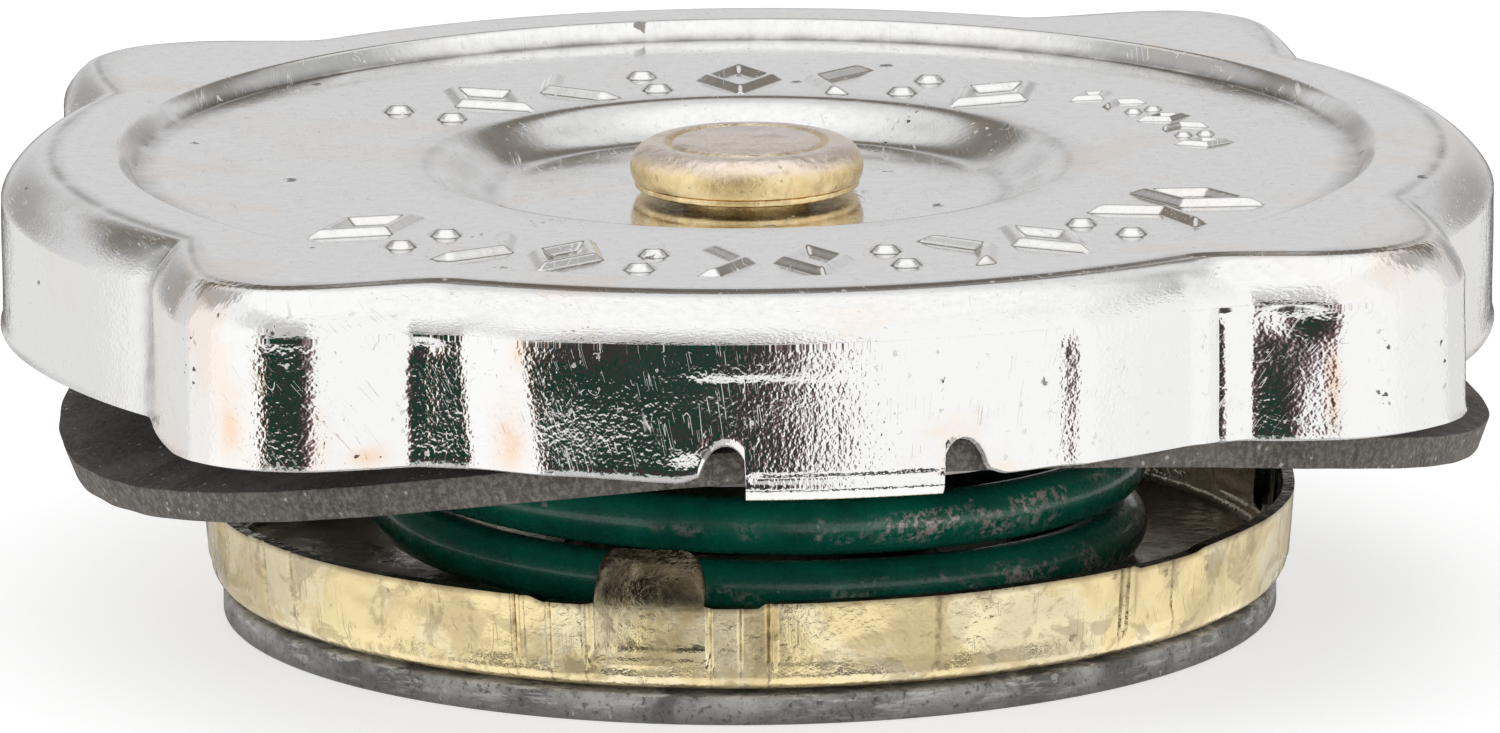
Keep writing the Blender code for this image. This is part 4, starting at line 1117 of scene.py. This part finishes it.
def coil_tree(name):
    """Geometry Nodes tree of a coil whose ends are ground flat between two levels."""
    numbers = ["Mean Radius", "Wire Radius", "Bottom", "Top", "Grind", "Turns", "Top Angle", "Shift"]
    tree, given = open_tree(name, numbers, ["Points", "Sides"])
    line = add(tree, "GeometryNodeMeshLine", {"Count": given["Points"]}, mode="OFFSET")
    index = add(tree, "GeometryNodeInputIndex").outputs[0]
    last = minus(tree, given["Points"], 1.0)
    part = calc(tree, "DIVIDE", index, last)
    low = plus(tree, minus(tree, given["Bottom"], given["Grind"]), given["Wire Radius"])
    high = minus(tree, plus(tree, given["Top"], given["Grind"]), given["Wire Radius"])
    level = calc(tree, "MULTIPLY_ADD", part, minus(tree, high, low), low)
    left = times(tree, minus(tree, 1.0, part), given["Turns"])
    angle = calc(tree, "MULTIPLY_ADD", left, 2 * math.pi, given["Top Angle"])
    x = calc(tree, "MULTIPLY_ADD", calc(tree, "SINE", angle), given["Mean Radius"], given["Shift"])
    y = times(tree, calc(tree, "COSINE", angle), times(tree, given["Mean Radius"], -1.0))
    spot = add(tree, "ShaderNodeCombineXYZ", {0: x, 1: y, 2: level}).outputs[0]
    moved = add(tree, "GeometryNodeSetPosition", {"Geometry": line.outputs[0], "Position": spot}).outputs[0]
    curve = add(tree, "GeometryNodeMeshToCurve", {"Mesh": moved}).outputs[0]
    curve = add(tree, "GeometryNodeSetCurveNormal", {"Curve": curve}, mode="Z_UP").outputs[0]
    sizes = {"Resolution": given["Sides"], "Radius": given["Wire Radius"]}
    ring = add(tree, "GeometryNodeCurvePrimitiveCircle", sizes)
    wire = add(
        tree, "GeometryNodeCurveToMesh",
        {"Curve": curve, "Profile Curve": ring.outputs[0], "Fill Caps": True},
    ).outputs[0]
    here = add(tree, "GeometryNodeInputPosition").outputs[0]
    split = add(tree, "ShaderNodeSeparateXYZ", {0: here}).outputs
    ground = calc(tree, "MINIMUM", calc(tree, "MAXIMUM", split["Z"], given["Bottom"]), given["Top"])
    flat = add(tree, "ShaderNodeCombineXYZ", {0: split["X"], 1: split["Y"], 2: ground}).outputs[0]
    wire = add(tree, "GeometryNodeSetPosition", {"Geometry": wire, "Position": flat}).outputs[0]
    outward = minus(tree, axis_distance(tree, flat), given["Mean Radius"])
    outward = calc(tree, "DIVIDE", outward, given["Wire Radius"])
    close_tree(tree, wire, "rub", calc(tree, "MAXIMUM", outward, 0.0), "FLOAT", given["Material"])
    return tree


def shape_gap(tree, given, kind):
    """Distance outside the outline of a mark: a pair of pips, a lozenge or a chevron."""
    here = add(tree, "GeometryNodeInputPosition").outputs[0]
    split = add(tree, "ShaderNodeSeparateXYZ", {0: here}).outputs
    x, y = split["X"], calc(tree, "ABSOLUTE", split["Y"])
    reach = calc(tree, "MULTIPLY_ADD", given["Reach"], 0.5, times(tree, given["Stroke"], -1.0))
    span = calc(tree, "MULTIPLY_ADD", given["Width"], 0.5, times(tree, given["Stroke"], -1.0))
    if kind == "pips":
        up = minus(tree, y, times(tree, reach, 0.62))
        away = calc(tree, "SQRT", plus(tree, calc(tree, "POWER", x, 2.0), calc(tree, "POWER", up, 2.0)))
        return minus(tree, away, times(tree, given["Stroke"], 1.7))
    slope = calc(tree, "DIVIDE", span, reach)
    tilt = calc(tree, "SQRT", calc(tree, "MULTIPLY_ADD", slope, slope, 1.0))
    if kind == "lozenge":
        side = minus(tree, calc(tree, "MULTIPLY_ADD", y, slope, calc(tree, "ABSOLUTE", x)), span)
        line = calc(tree, "ABSOLUTE", calc(tree, "DIVIDE", side, tilt))
        return minus(tree, line, given["Stroke"])
    side = calc(tree, "MULTIPLY_ADD", span, -0.5, calc(tree, "MULTIPLY_ADD", y, slope, x))
    line = calc(tree, "ABSOLUTE", calc(tree, "DIVIDE", side, tilt))
    line = calc(tree, "SMOOTH_MAX", line, minus(tree, y, reach), 0.0002)
    return minus(tree, line, given["Stroke"])


def marks_tree(name):
    """Geometry Nodes tree of an arc of raised marks: each is a fine patch that domes up from the plate."""
    numbers = ["Height", "Reach", "Width", "Stroke", "Radius", "Middle", "Spacing", "Level"]
    tree, given = open_tree(name, numbers, ["Number"])
    spots = add(tree, "GeometryNodeMeshLine", {"Count": given["Number"]}, mode="OFFSET").outputs[0]
    index = add(tree, "GeometryNodeInputIndex").outputs[0]
    middle = times(tree, minus(tree, given["Number"], 1.0), 0.5)
    turn = calc(tree, "MULTIPLY_ADD", minus(tree, index, middle), given["Spacing"], given["Middle"])
    x = times(tree, calc(tree, "SINE", turn), given["Radius"])
    y = times(tree, calc(tree, "COSINE", turn), times(tree, given["Radius"], -1.0))
    spot = add(tree, "ShaderNodeCombineXYZ", {0: x, 1: y, 2: given["Level"]}).outputs[0]
    placed = add(tree, "GeometryNodeSetPosition", {"Geometry": spots, "Position": spot}).outputs[0]
    turned = add(tree, "ShaderNodeCombineXYZ", {2: turn}).outputs[0]
    everything = add(tree, "GeometryNodeJoinGeometry")
    for number, kind in enumerate(("lozenge", "pips", "chevron")):
        patch = add(tree, "GeometryNodeMeshGrid", {
            "Size X": plus(tree, given["Width"], MARK_MARGIN),
            "Size Y": plus(tree, given["Reach"], MARK_MARGIN),
            "Vertices X": MARK_GRID[0], "Vertices Y": MARK_GRID[1],
        }).outputs["Mesh"]
        gap = calc(tree, "DIVIDE", shape_gap(tree, given, kind), given["Stroke"])
        dome = remap(tree, gap, -1.0, 0.35, 1.0, 0.0)
        lift = calc(tree, "MULTIPLY_ADD", dome, given["Height"], -MARK_SINK)
        up = add(tree, "ShaderNodeCombineXYZ", {2: lift}).outputs[0]
        raised = add(tree, "GeometryNodeSetPosition", {"Geometry": patch, "Offset": up}).outputs[0]
        down = add(tree, "ShaderNodeCombineXYZ", {2: -1.0}).outputs[0]
        below = add(tree, "GeometryNodeExtrudeMesh", {
            "Mesh": raised, "Offset": down, "Offset Scale": MARK_SHEET, "Individual": False,
        }, mode="FACES").outputs["Mesh"]
        below = add(tree, "GeometryNodeFlipFaces", {"Mesh": below}).outputs[0]
        closed = add(tree, "GeometryNodeJoinGeometry")
        tree.links.new(raised, closed.inputs[0])
        tree.links.new(below, closed.inputs[0])
        joined = {"Geometry": closed.outputs[0], "Distance": 1e-6}
        raised = add(tree, "GeometryNodeMergeByDistance", joined).outputs[0]
        chosen = calc(tree, "COMPARE", calc(tree, "MODULO", index, 3.0), float(number), 0.5)
        copies = add(tree, "GeometryNodeInstanceOnPoints", {
            "Points": placed, "Selection": chosen, "Instance": raised, "Rotation": turned,
        }).outputs[0]
        tree.links.new(copies, everything.inputs[0])
    here = add(tree, "GeometryNodeInputPosition").outputs[0]
    close_tree(tree, everything.outputs[0], "skin", here, "FLOAT_VECTOR", given["Material"])
    return tree


def from_nodes(name, tree, values):
    """Evaluates a Geometry Nodes tree with the given inputs and returns the plain mesh object."""
    holder = put(name + "_nodes", bpy.data.meshes.new(name + "_nodes"))
    modifier = holder.modifiers.new("nodes", "NODES")
    modifier.node_group = tree
    sockets = {item.name: item.identifier for item in tree.interface.items_tree if item.in_out == "INPUT"}
    for label, value in values.items():
        modifier[sockets[label]] = value
    bpy.context.view_layer.update()
    graph = bpy.context.evaluated_depsgraph_get()
    mesh = bpy.data.meshes.new_from_object(holder.evaluated_get(graph), depsgraph=graph)
    holder.modifiers.remove(modifier)
    bpy.data.objects.remove(holder)
    mesh.name = name
    return put(name, mesh)


# Pressure coil: angle of its upper end in degrees, shift towards +X, points along the wire and round it
COIL_END, COIL_SHIFT, COIL_POINTS, COIL_SIDES = 137.4, 0.0003, 420, 28
# Vacuum coil: turns, points along the wire and round it, and how far its upper end goes down with the joint
VACUUM_TURNS, VACUUM_POINTS, VACUUM_SIDES, VACUUM_DROP = 2.25, 120, 12, 0.0012


class CAP_OT_springs(bpy.types.Operator):
    """Winds the pressure spring and the small vacuum spring"""

    bl_idname = "cap.springs"
    bl_label = "Springs"

    def execute(self, context):
        s = settings_of("cap_spring")
        tree = coil_tree("ground_coil")
        low, high = (corner.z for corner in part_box("pressure_spring"))
        rise = high - low - s.wire + 2 * s.grind
        turns = rise / (s.wire + s.coil_gap)
        made = from_nodes("pressure_coil", tree, {
            "Mean Radius": s.mean_radius, "Wire Radius": 0.5 * s.wire, "Bottom": low, "Top": high,
            "Grind": s.grind, "Turns": turns, "Top Angle": math.radians(COIL_END), "Shift": COIL_SHIFT,
            "Points": COIL_POINTS, "Sides": COIL_SIDES, "Material": enamel_material(s),
        })
        seat(made, "valve_carrier", "green_enamel", "pressure_spring")
        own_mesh(made)
        low, high = (corner.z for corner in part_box("vacuum_spring"))
        made = from_nodes("vacuum_coil", tree, {
            "Mean Radius": s.small_radius, "Wire Radius": 0.5 * s.small_wire, "Bottom": low, "Top": high,
            "Grind": 0.0, "Turns": VACUUM_TURNS, "Top Angle": 0.0, "Shift": 0.0,
            "Points": VACUUM_POINTS, "Sides": VACUUM_SIDES,
            "Material": steel_material(settings_of("cap_steel"), "spring_steel"),
        })
        seat(made, "pressure_valve", "grey_steel", "vacuum_spring")
        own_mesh(made)
        return {"FINISHED"}


class CAP_OT_cup(bpy.types.Operator):
    """Builds the brass valve cup with its tabs and creases"""

    bl_idname = "cap.cup"
    bl_label = "Valve cup"

    def execute(self, context):
        s = settings_of("cap_cup")
        made = build_cup(s, brass_material(s))
        seat(made, "pressure_valve", "pale_brass", "valve_cup")
        return {"FINISHED"}


# Cup: angles in degrees, lengths in metres
TAB_ANGLE, TAB_HALF_ANGLE, TAB_CORNER_ANGLE, TAB_LEAN = -18.2, 5.85, 2.6, 0.0005
CRIMP_HALF_ANGLE, RIM_NOTCH_HALF_ANGLE, RIM_NOTCH_DEPTH = 4.5, 12.3, 0.0002
CUP_SHEET, CUP_CORNER, CUP_BASE_RISE, CUP_LEAN = 0.00045, 0.0008, 0.0010, 0.00030
CUP_HOLE_RADIUS, CUP_FLOOR_RADIUS = 0.00685, 0.014
# Creases and folds of its wall: angle, half width in degrees, and share of the crease depth
CUP_CREASES = (
    (-69.4, 0.50, -0.8), (-63.7, 0.45, -0.8), (-62.9, 0.40, 0.6), (-32.6, 0.35, -1.0), (-31.7, 0.30, 0.9),
    (-28.7, 0.35, -0.8), (-24.9, 0.25, -0.8), (-11.7, 0.25, -0.8), (-8.6, 0.30, -0.7), (-5.7, 0.30, -0.8),
    (-5.0, 0.25, 1.0), (12.0, 0.60, -0.4), (34.4, 0.30, -0.9), (35.2, 0.28, 1.0), (42.7, 0.30, -0.9),
    (88.0, 0.40, -0.8), (90.5, 0.40, 0.8), (141.0, 0.40, -0.9), (164.0, 0.50, 0.7), (212.0, 0.40, -0.8),
    (245.0, 0.40, 0.8), (263.0, 0.40, -0.8),
)


def from_tab(angle):
    """Angle to the nearest tab, 0 to 60 degrees."""
    return np.round(np.abs((np.asarray(angle, float) - TAB_ANGLE + 60) % 120 - 60), 6)


def build_cup(s, material):
    """The cup as one closed sheet: floor, wall, three tabs and three crimps."""
    base = settings_of("cap_seal").thickness + SEAT_GAP
    fine = np.arange(0, 360, 0.75)
    near = np.linspace(-1, 1, 41) * TAB_HALF_ANGLE
    near = np.concatenate([near, [-TAB_HALF_ANGLE - 0.12, TAB_HALF_ANGLE + 0.12]])
    tabs = [(TAB_ANGLE + 120 * k + near) % 360 for k in range(3)]
    sharp = [(at + np.linspace(-0.6, 0.6, 13)) % 360 for at, _, _ in CUP_CREASES]
    angle = np.unique(np.round(np.concatenate([fine, *tabs, *sharp]), 3))
    angle = np.append(angle[np.append(True, np.diff(angle) > 0.03)], 180.02)
    angle = np.sort(signed(angle))
    away = from_tab(angle)
    tab = 1 - smooth(TAB_HALF_ANGLE, TAB_HALF_ANGLE + 0.9, away)
    crimp = 1 - smooth(CRIMP_HALF_ANGLE, CRIMP_HALF_ANGLE + 1.2, 60 - away)
    dip = sum(height * bump(0, 0.6 * width, signed(angle - at)) for at, width, height in CUP_CREASES)
    # Painted shade along the folds, the creases that sink into the wall.
    fold_shade = sum(bump(0, 0.5 * width, signed(angle - at)) for at, width, height in CUP_CREASES if height < 0)

    def wall(high):
        above = smooth(base + CUP_BASE_RISE, base + 1.6 * CUP_BASE_RISE, high)
        lean = CUP_LEAN * (1 - (high - base) / s.height)
        round_radius = s.radius - lean - above * (0.00035 * tab + 0.0002 * crimp)
        creased = s.crease * dip * smooth(base, base + 0.0012, high)
        return round_radius + creased + 0.00003 * ripple(3, angle, high)

    notch = np.maximum(1 - smooth(RIM_NOTCH_HALF_ANGLE - 1, RIM_NOTCH_HALF_ANGLE, away), crimp)
    rim = base + s.height - RIM_NOTCH_DEPTH * notch
    rows = []
    turned = arc((s.radius - CUP_LEAN - CUP_CORNER, base + CUP_CORNER), CUP_CORNER, -90, 0, 8)
    for r, z in [(CUP_HOLE_RADIUS, base), (CUP_FLOOR_RADIUS, base), *turned]:
        rows.append((np.full(len(angle), r), np.full(len(angle), z)))
    for part in np.linspace(0, 1, 12)[1:]:
        high = base + CUP_CORNER + (rim - base - CUP_CORNER) * part
        rows.append((wall(high), high))
    radius = np.stack([r for r, _ in rows], 1)
    high = np.stack([z for _, z in rows], 1)
    count_rows = radius.shape[1]
    columns, verts, inside, folds, skin, tab_tone_and_shade = [], [], [], [], [], []
    corner = np.clip((away - TAB_HALF_ANGLE + TAB_CORNER_ANGLE) / TAB_CORNER_ANGLE, 0, 1)
    corner = 1 - np.sqrt(1 - corner ** 2)
    for i, at in enumerate(np.radians(angle)):
        path = [(radius[i, k], high[i, k]) for k in range(count_rows)]
        if away[i] <= TAB_HALF_ANGLE:
            foot_r, foot_z = path[-1]
            rise = (s.tab_rise + RIM_NOTCH_DEPTH) * (1 - 0.58 * corner[i])
            path += [(foot_r - TAB_LEAN * t * t, foot_z + rise * t) for t in np.linspace(0, 1, 8)[1:]]
        path = np.array(path)
        ahead = np.gradient(path, axis=0)
        ahead /= np.linalg.norm(ahead, axis=1)[:, None] + 1e-12
        inner = path + np.stack([-ahead[:, 1], ahead[:, 0]], 1) * CUP_SHEET
        start = len(verts)
        along = np.concatenate([[0], np.cumsum(np.linalg.norm(np.diff(path, axis=0), axis=1))])
        for r, z in np.concatenate([path, inner]):
            verts.append((r * math.sin(at), -r * math.cos(at), z))
        skin += [(s.radius * at, reach, 0) for reach in along] * 2
        # Painted shade towards the sides at +X and -X, a painted dark line along the rim, and a darker upper
        # wall at the tabs.
        side_shade = 0.30 * smooth(50, 82, min(abs(angle[i]), 180 - abs(angle[i])))
        upper = smooth(base + s.height - 0.0009, base + s.height + 0.0002, path[:, 1]) * tab[i]
        rim_shade_line = 0.75 * (path[:, 1] > rim[i] - 0.00002)
        tab_tone_and_shade += list(np.maximum(np.maximum(upper, side_shade), rim_shade_line)) * 2
        # Marks the inner face, which the brass material darkens as painted shade.
        inside += [0.0] * len(path) + [1.0] * len(path)
        folds += [float(fold_shade[i])] * len(path) + [0.0] * len(path)
        columns.append((start, start + len(path), len(path) - count_rows))
    faces = []
    for i in range(len(columns)):
        a, b = columns[i], columns[(i + 1) % len(columns)]
        extra = min(a[2], b[2])
        last = count_rows + extra - 1
        for k in range(last):
            faces.append((a[0] + k, b[0] + k, b[0] + k + 1, a[0] + k + 1))
            faces.append((a[1] + k, a[1] + k + 1, b[1] + k + 1, b[1] + k))
        faces.append((a[0], a[1], b[1], b[0]))
        faces.append((a[0] + last, b[0] + last, b[1] + last, a[1] + last))
        for own, flip in ((a, True), (b, False)):
            for k in range(extra, own[2]):
                low = count_rows + k - 1
                quad = (own[0] + low, own[0] + low + 1, own[1] + low + 1, own[1] + low)
                faces.append(quad if flip else quad[::-1])
    layers = {"inside": inside, "fold_shade": folds, "tab_tone_and_shade": tab_tone_and_shade, "skin": skin}
    return mesh_object("cup_pressing", verts, faces, material, 38, layers)


# Seal: radius of its hole, rounding of its rim, depth of the hollow under it and radii of the hollow's edge
SEAL_HOLE, SEAL_ROUND, SEAL_WEB = 0.00685, 0.0002, 0.0005
HOLLOW_RADIUS, HOLLOW_EDGE = 0.0135, 0.0137


class CAP_OT_seal(bpy.types.Operator):
    """Builds the rubber pressure seal"""

    bl_idname = "cap.seal"
    bl_label = "Pressure seal"

    def execute(self, context):
        s = settings_of("cap_seal")
        web = s.thickness - SEAL_WEB
        outline = [(SEAL_HOLE, web), (SEAL_HOLE, s.thickness)]
        outline += arc((s.radius - SEAL_ROUND, s.thickness - SEAL_ROUND), SEAL_ROUND, 90, 0, 5)
        outline += arc((s.radius - SEAL_ROUND, SEAL_ROUND), SEAL_ROUND, 0, -90, 5)
        outline += [(HOLLOW_EDGE, 0.0), (HOLLOW_RADIUS, 0.0001), (HOLLOW_RADIUS, web)]
        made = spin("seal_moulded", outline, seal_material(s), 256)
        seat(made, "pressure_valve", "seal_rubber", "pressure_seal")
        return {"FINISHED"}


class CAP_OT_fittings(bpy.types.Operator):
    """Gives the steel, brass and rubber fittings inside the cap their finishes"""

    bl_idname = "cap.fittings"
    bl_label = "Fittings"

    def execute(self, context):
        steel = steel_material(settings_of("cap_steel"))
        brass = bpy.data.materials["pale_brass"]
        rubber = bpy.data.materials["seal_rubber"]
        finishes = {
            "spacer_collar": steel, "friction_spring": steel, "spring_seat": steel, "bell_housing": steel,
            "tail_washer": steel, "valve_spool": steel, "guide_disc": steel,
            "stem_clip": steel, "vacuum_disc": brass, "vacuum_stem": brass, "vacuum_seal": rubber,
        }
        for name, finish in finishes.items():
            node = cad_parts[name]
            for slot in node.material_slots:
                slot.material = finish
        return {"FINISHED"}


class CAP_OT_stage(bpy.types.Operator):
    """Sets the floor, the white surroundings and the camera"""

    bl_idname = "cap.stage"
    bl_label = "Stage"

    def execute(self, context):
        s = settings_of("cap_stage")
        scene = bpy.context.scene
        scene.view_settings.view_transform = "Standard"
        build_floor(s)
        build_world(s)
        build_camera(s)
        return {"FINISHED"}


# What mirrors see round the cap, back to front: azimuth from the camera's side towards its right and
# elevation as (from, to, softness) in degrees, then the colour. "both" cards lie to the left and the right.
CARDS = (
    ("both", (0, 190, 4), (-20, 60, 8), (0.74, 0.74, 0.74)),
    ("both", (0, 190, 4), (-25, -2, 4), (0.76, 0.76, 0.755)),
    ("both", (58, 112, 6), (-25, 62, 8), (0.90, 0.90, 0.895)),
    ("both", (118, 190, 10), (-3, 34, 6), (0.66, 0.66, 0.665)),
    ("both", (128, 190, 12), (27, 42, 4), (0.20, 0.18, 0.155)),
    ("both", (100, 142, 8), (36, 56, 6), (0.44, 0.44, 0.44)),
    ("both", (140, 165, 8), (-4, 18, 6), (0.38, 0.37, 0.365)),
    ("both", (165, 178, 2), (-25, -6, 4), (0.16, 0.15, 0.145)),
    ("one", (9, 66, 4), (-31, 64, 5), (0.96, 0.96, 0.96)),
    ("one", (-78, -31, 4), (-25, 34, 8), (1.0, 1.0, 0.99)),
    ("one", (-31, 8, 5), (14, 50, 8), (0.56, 0.55, 0.54)),
    ("one", (-32, -27, 2), (-18.5, 15, 2.5), (0.46, 0.33, 0.23)),
    ("one", (3, 10, 2), (-18.5, 13, 2.5), (0.24, 0.16, 0.17)),
    ("one", (-30, 6, 3), (-18.5, 13, 2.5), (0.036, 0.036, 0.034)),
    ("one", (-25, -17, 2), (-14, -6, 2), (0.002, 0.040, 0.026)),
    ("one", (-14, -4, 3), (-14, -10, 1.5), (0.002, 0.038, 0.024)),
    ("one", (-10, -3, 2), (-8, 0, 2), (0.004, 0.044, 0.030)),
    ("one", (-26, 2, 4), (10, 15, 2), (0.11, 0.17, 0.15)),
    ("one", (-17, -11, 3), (2, 9, 3), (0.060, 0.022, 0.034)),
    ("both", (0, 80, 8), (-42, -31, 3), (0.06, 0.055, 0.05)),
)


# Floor: half its side, and the shade and glow that the camera sees
FLOOR_SIDE, FLOOR_SEEN, FLOOR_GLOW = 3.0, (0.54, 0.54, 0.54), 0.62
# Photograph: width and middle in pixels, and its fitted target and focal length in pixels
PHOTO_WIDTH, PHOTO_MIDDLE = 1500.0, (750.0, 366.5)
TARGET_SPOT, FOCAL, TARGET_HEIGHT = (746.7, 145.35), 17340.0, 0.0184
SENSOR_WIDTH = 36.0


def card_mask(tree, value, reach):
    """1 from start to end with soft sides."""
    start, end, soft = reach
    rise = remap(tree, value, start - soft, start + soft)
    return minus(tree, rise, remap(tree, value, end - soft, end + soft))


def surroundings(tree):
    """Colour of the cards in each direction."""
    toward = add(tree, "ShaderNodeTexCoord").outputs["Generated"]
    s = settings_of("cap_stage")
    from_camera = {"Vector": toward, "Angle": s.azimuth}
    turned = add(tree, "ShaderNodeVectorRotate", from_camera, rotation_type="Z_AXIS")
    split = add(tree, "ShaderNodeSeparateXYZ", {0: turned.outputs[0]}).outputs
    around = calc(tree, "ARCTAN2", split["X"], times(tree, split["Y"], -1.0))
    around = times(tree, around, 180 / math.pi)
    rise = times(tree, calc(tree, "ARCSINE", split["Z"]), 180 / math.pi)
    stray = minus(tree, noise(tree, toward, 3.0, 3.0), 0.5)
    around = calc(tree, "MULTIPLY_ADD", stray, 6.0, around)
    rise = calc(tree, "MULTIPLY_ADD", stray, 6.0, rise)
    spread = calc(tree, "ABSOLUTE", around)
    result = add(tree, "ShaderNodeRGB").outputs[0]
    result.default_value = (1.0, 1.0, 1.0, 1.0)
    for kind, across, upward, shade in CARDS:
        sideways = card_mask(tree, spread if kind == "both" else around, across)
        mask = times(tree, sideways, card_mask(tree, rise, upward), clamp=True)
        result = blend_colour(tree, mask, result, shade)
    return result


def build_floor(s):
    """Large pale floor under the cap; the camera sees it white, with the cap's shadow."""
    mesh = bpy.data.meshes.new("floor")
    corners = [(-FLOOR_SIDE, -FLOOR_SIDE, 0), (FLOOR_SIDE, -FLOOR_SIDE, 0)]
    corners += [(FLOOR_SIDE, FLOOR_SIDE, 0), (-FLOOR_SIDE, FLOOR_SIDE, 0)]
    mesh.from_pydata(corners, [], [(0, 1, 2, 3)])
    floor = put("floor", mesh)
    material, tree, shader = new_material("pale_floor", s.floor)
    camera_ray = add(tree, "ShaderNodeLightPath").outputs["Is Camera Ray"]
    link(tree, blend_colour(tree, camera_ray, tuple(s.floor), FLOOR_SEEN), shader.inputs["Base Color"])
    shader.inputs["Roughness"].default_value = 0.9
    shader.inputs["Specular IOR Level"].default_value = 0.0
    shader.inputs["Emission Color"].default_value = (1.0, 1.0, 1.0, 1.0)
    link(tree, times(tree, camera_ray, FLOOR_GLOW), shader.inputs["Emission Strength"])
    mesh.materials.append(material)
    floor.visible_glossy = False


def build_world(s):
    """White surroundings, in which mirrors see pale and dark cards."""
    world = bpy.data.worlds.new("studio")
    bpy.context.scene.world = world
    world.use_nodes = True
    tree = world.node_tree
    light = tree.nodes["Background"]
    light.inputs["Color"].default_value = (1, 1, 1, 1)
    path = add(tree, "ShaderNodeLightPath").outputs
    link(tree, remap(tree, path["Is Camera Ray"], 0, 1, s.light, 1.0, "LINEAR"), light.inputs["Strength"])
    cards = add(tree, "ShaderNodeBackground", {"Color": surroundings(tree), "Strength": 1.0})
    mixed = {0: path["Is Glossy Ray"], 1: light.outputs[0], 2: cards.outputs[0]}
    both = add(tree, "ShaderNodeMixShader", mixed)
    tree.links.new(both.outputs[0], tree.nodes["World Output"].inputs["Surface"])


def build_camera(s):
    """Long lens from the photograph's side; the picture's middle lies below the top face's centre."""
    target = Vector((0, 0, TARGET_HEIGHT))
    flat = s.distance * math.cos(s.elevation)
    spot = target + Vector((
        -flat * math.sin(s.azimuth), -flat * math.cos(s.azimuth), s.distance * math.sin(s.elevation)
    ))
    view = (target - spot).normalized()
    right = view.cross(Vector((0, 0, 1))).normalized()
    up = right.cross(view)
    rolled_right = math.cos(s.roll) * right - math.sin(s.roll) * up
    rolled_up = math.sin(s.roll) * right + math.cos(s.roll) * up
    aside, below = PHOTO_MIDDLE[0] - TARGET_SPOT[0], PHOTO_MIDDLE[1] - TARGET_SPOT[1]
    axis = (view * FOCAL + rolled_right * aside - rolled_up * below).normalized()
    right = axis.cross(rolled_up).normalized()
    up = right.cross(axis)
    data = bpy.data.cameras.new("photo_camera")
    data.sensor_width = SENSOR_WIDTH
    data.lens = FOCAL / PHOTO_WIDTH * SENSOR_WIDTH
    data.clip_start, data.clip_end = 0.01, 10.0
    camera = put("photo_camera", data)
    camera.matrix_world = Matrix((
        (right.x, up.x, -axis.x, spot.x),
        (right.y, up.y, -axis.y, spot.y),
        (right.z, up.z, -axis.z, spot.z),
        (0, 0, 0, 1),
    ))
    bpy.context.scene.camera = camera


class CAP_PT_panel(bpy.types.Panel):
    """Lists the sizes, the colours and the build steps"""

    bl_idname = "CAP_PT_panel"
    bl_label = "Radiator Cap"
    bl_space_type = "VIEW_3D"
    bl_region_type = "UI"
    bl_category = "Radiator Cap"

    def draw(self, context):
        for operator, key, title in STEPS:
            box = self.layout.box()
            box.label(text=title)
            group_of = getattr(context.scene, key)
            for name in group_of.__annotations__:
                box.prop(group_of, name)
            box.operator(operator)


STEPS = (
    ("cap.shell", "cap_shell", "Shell"),
    ("cap.marks", "cap_marks", "Raised marks"),
    ("cap.rivet", "cap_rivet", "Rivet"),
    ("cap.gasket", "cap_gasket", "Neck gasket"),
    ("cap.springs", "cap_spring", "Springs"),
    ("cap.cup", "cap_cup", "Valve cup"),
    ("cap.seal", "cap_seal", "Pressure seal"),
    ("cap.fittings", "cap_steel", "Fittings"),
    ("cap.stage", "cap_stage", "Stage"),
)
GROUP_CLASSES = {
    "cap_shell": ShellSettings, "cap_marks": MarkSettings, "cap_rivet": RivetSettings,
    "cap_gasket": GasketSettings, "cap_spring": SpringSettings, "cap_cup": CupSettings,
    "cap_seal": SealSettings, "cap_steel": SteelSettings, "cap_stage": StageSettings,
}
CLASSES = (
    *GROUP_CLASSES.values(), CAP_OT_shell, CAP_OT_marks, CAP_OT_rivet, CAP_OT_gasket, CAP_OT_springs,
    CAP_OT_cup, CAP_OT_seal, CAP_OT_fittings, CAP_OT_stage, CAP_PT_panel,
)


def register():
    """Registers the classes and their settings."""
    for made in CLASSES:
        bpy.utils.register_class(made)
    for name, made in GROUP_CLASSES.items():
        setattr(bpy.types.Scene, name, bpy.props.PointerProperty(type=made))


def unregister():
    """Takes the settings and the classes away again."""
    for name in GROUP_CLASSES:
        delattr(bpy.types.Scene, name)
    for made in reversed(CLASSES):
        bpy.utils.unregister_class(made)


def main():
    """Builds everything."""
    register()
    for name in ("Cube", "Light", "Camera"):
        if name in bpy.data.objects:
            bpy.data.objects.remove(bpy.data.objects[name])
    for operator, _, _ in STEPS:
        area, step = operator.split(".")
        getattr(getattr(bpy.ops, area), step)()
    bpy.context.view_layer.update()


if __name__ == "__main__":
    main()
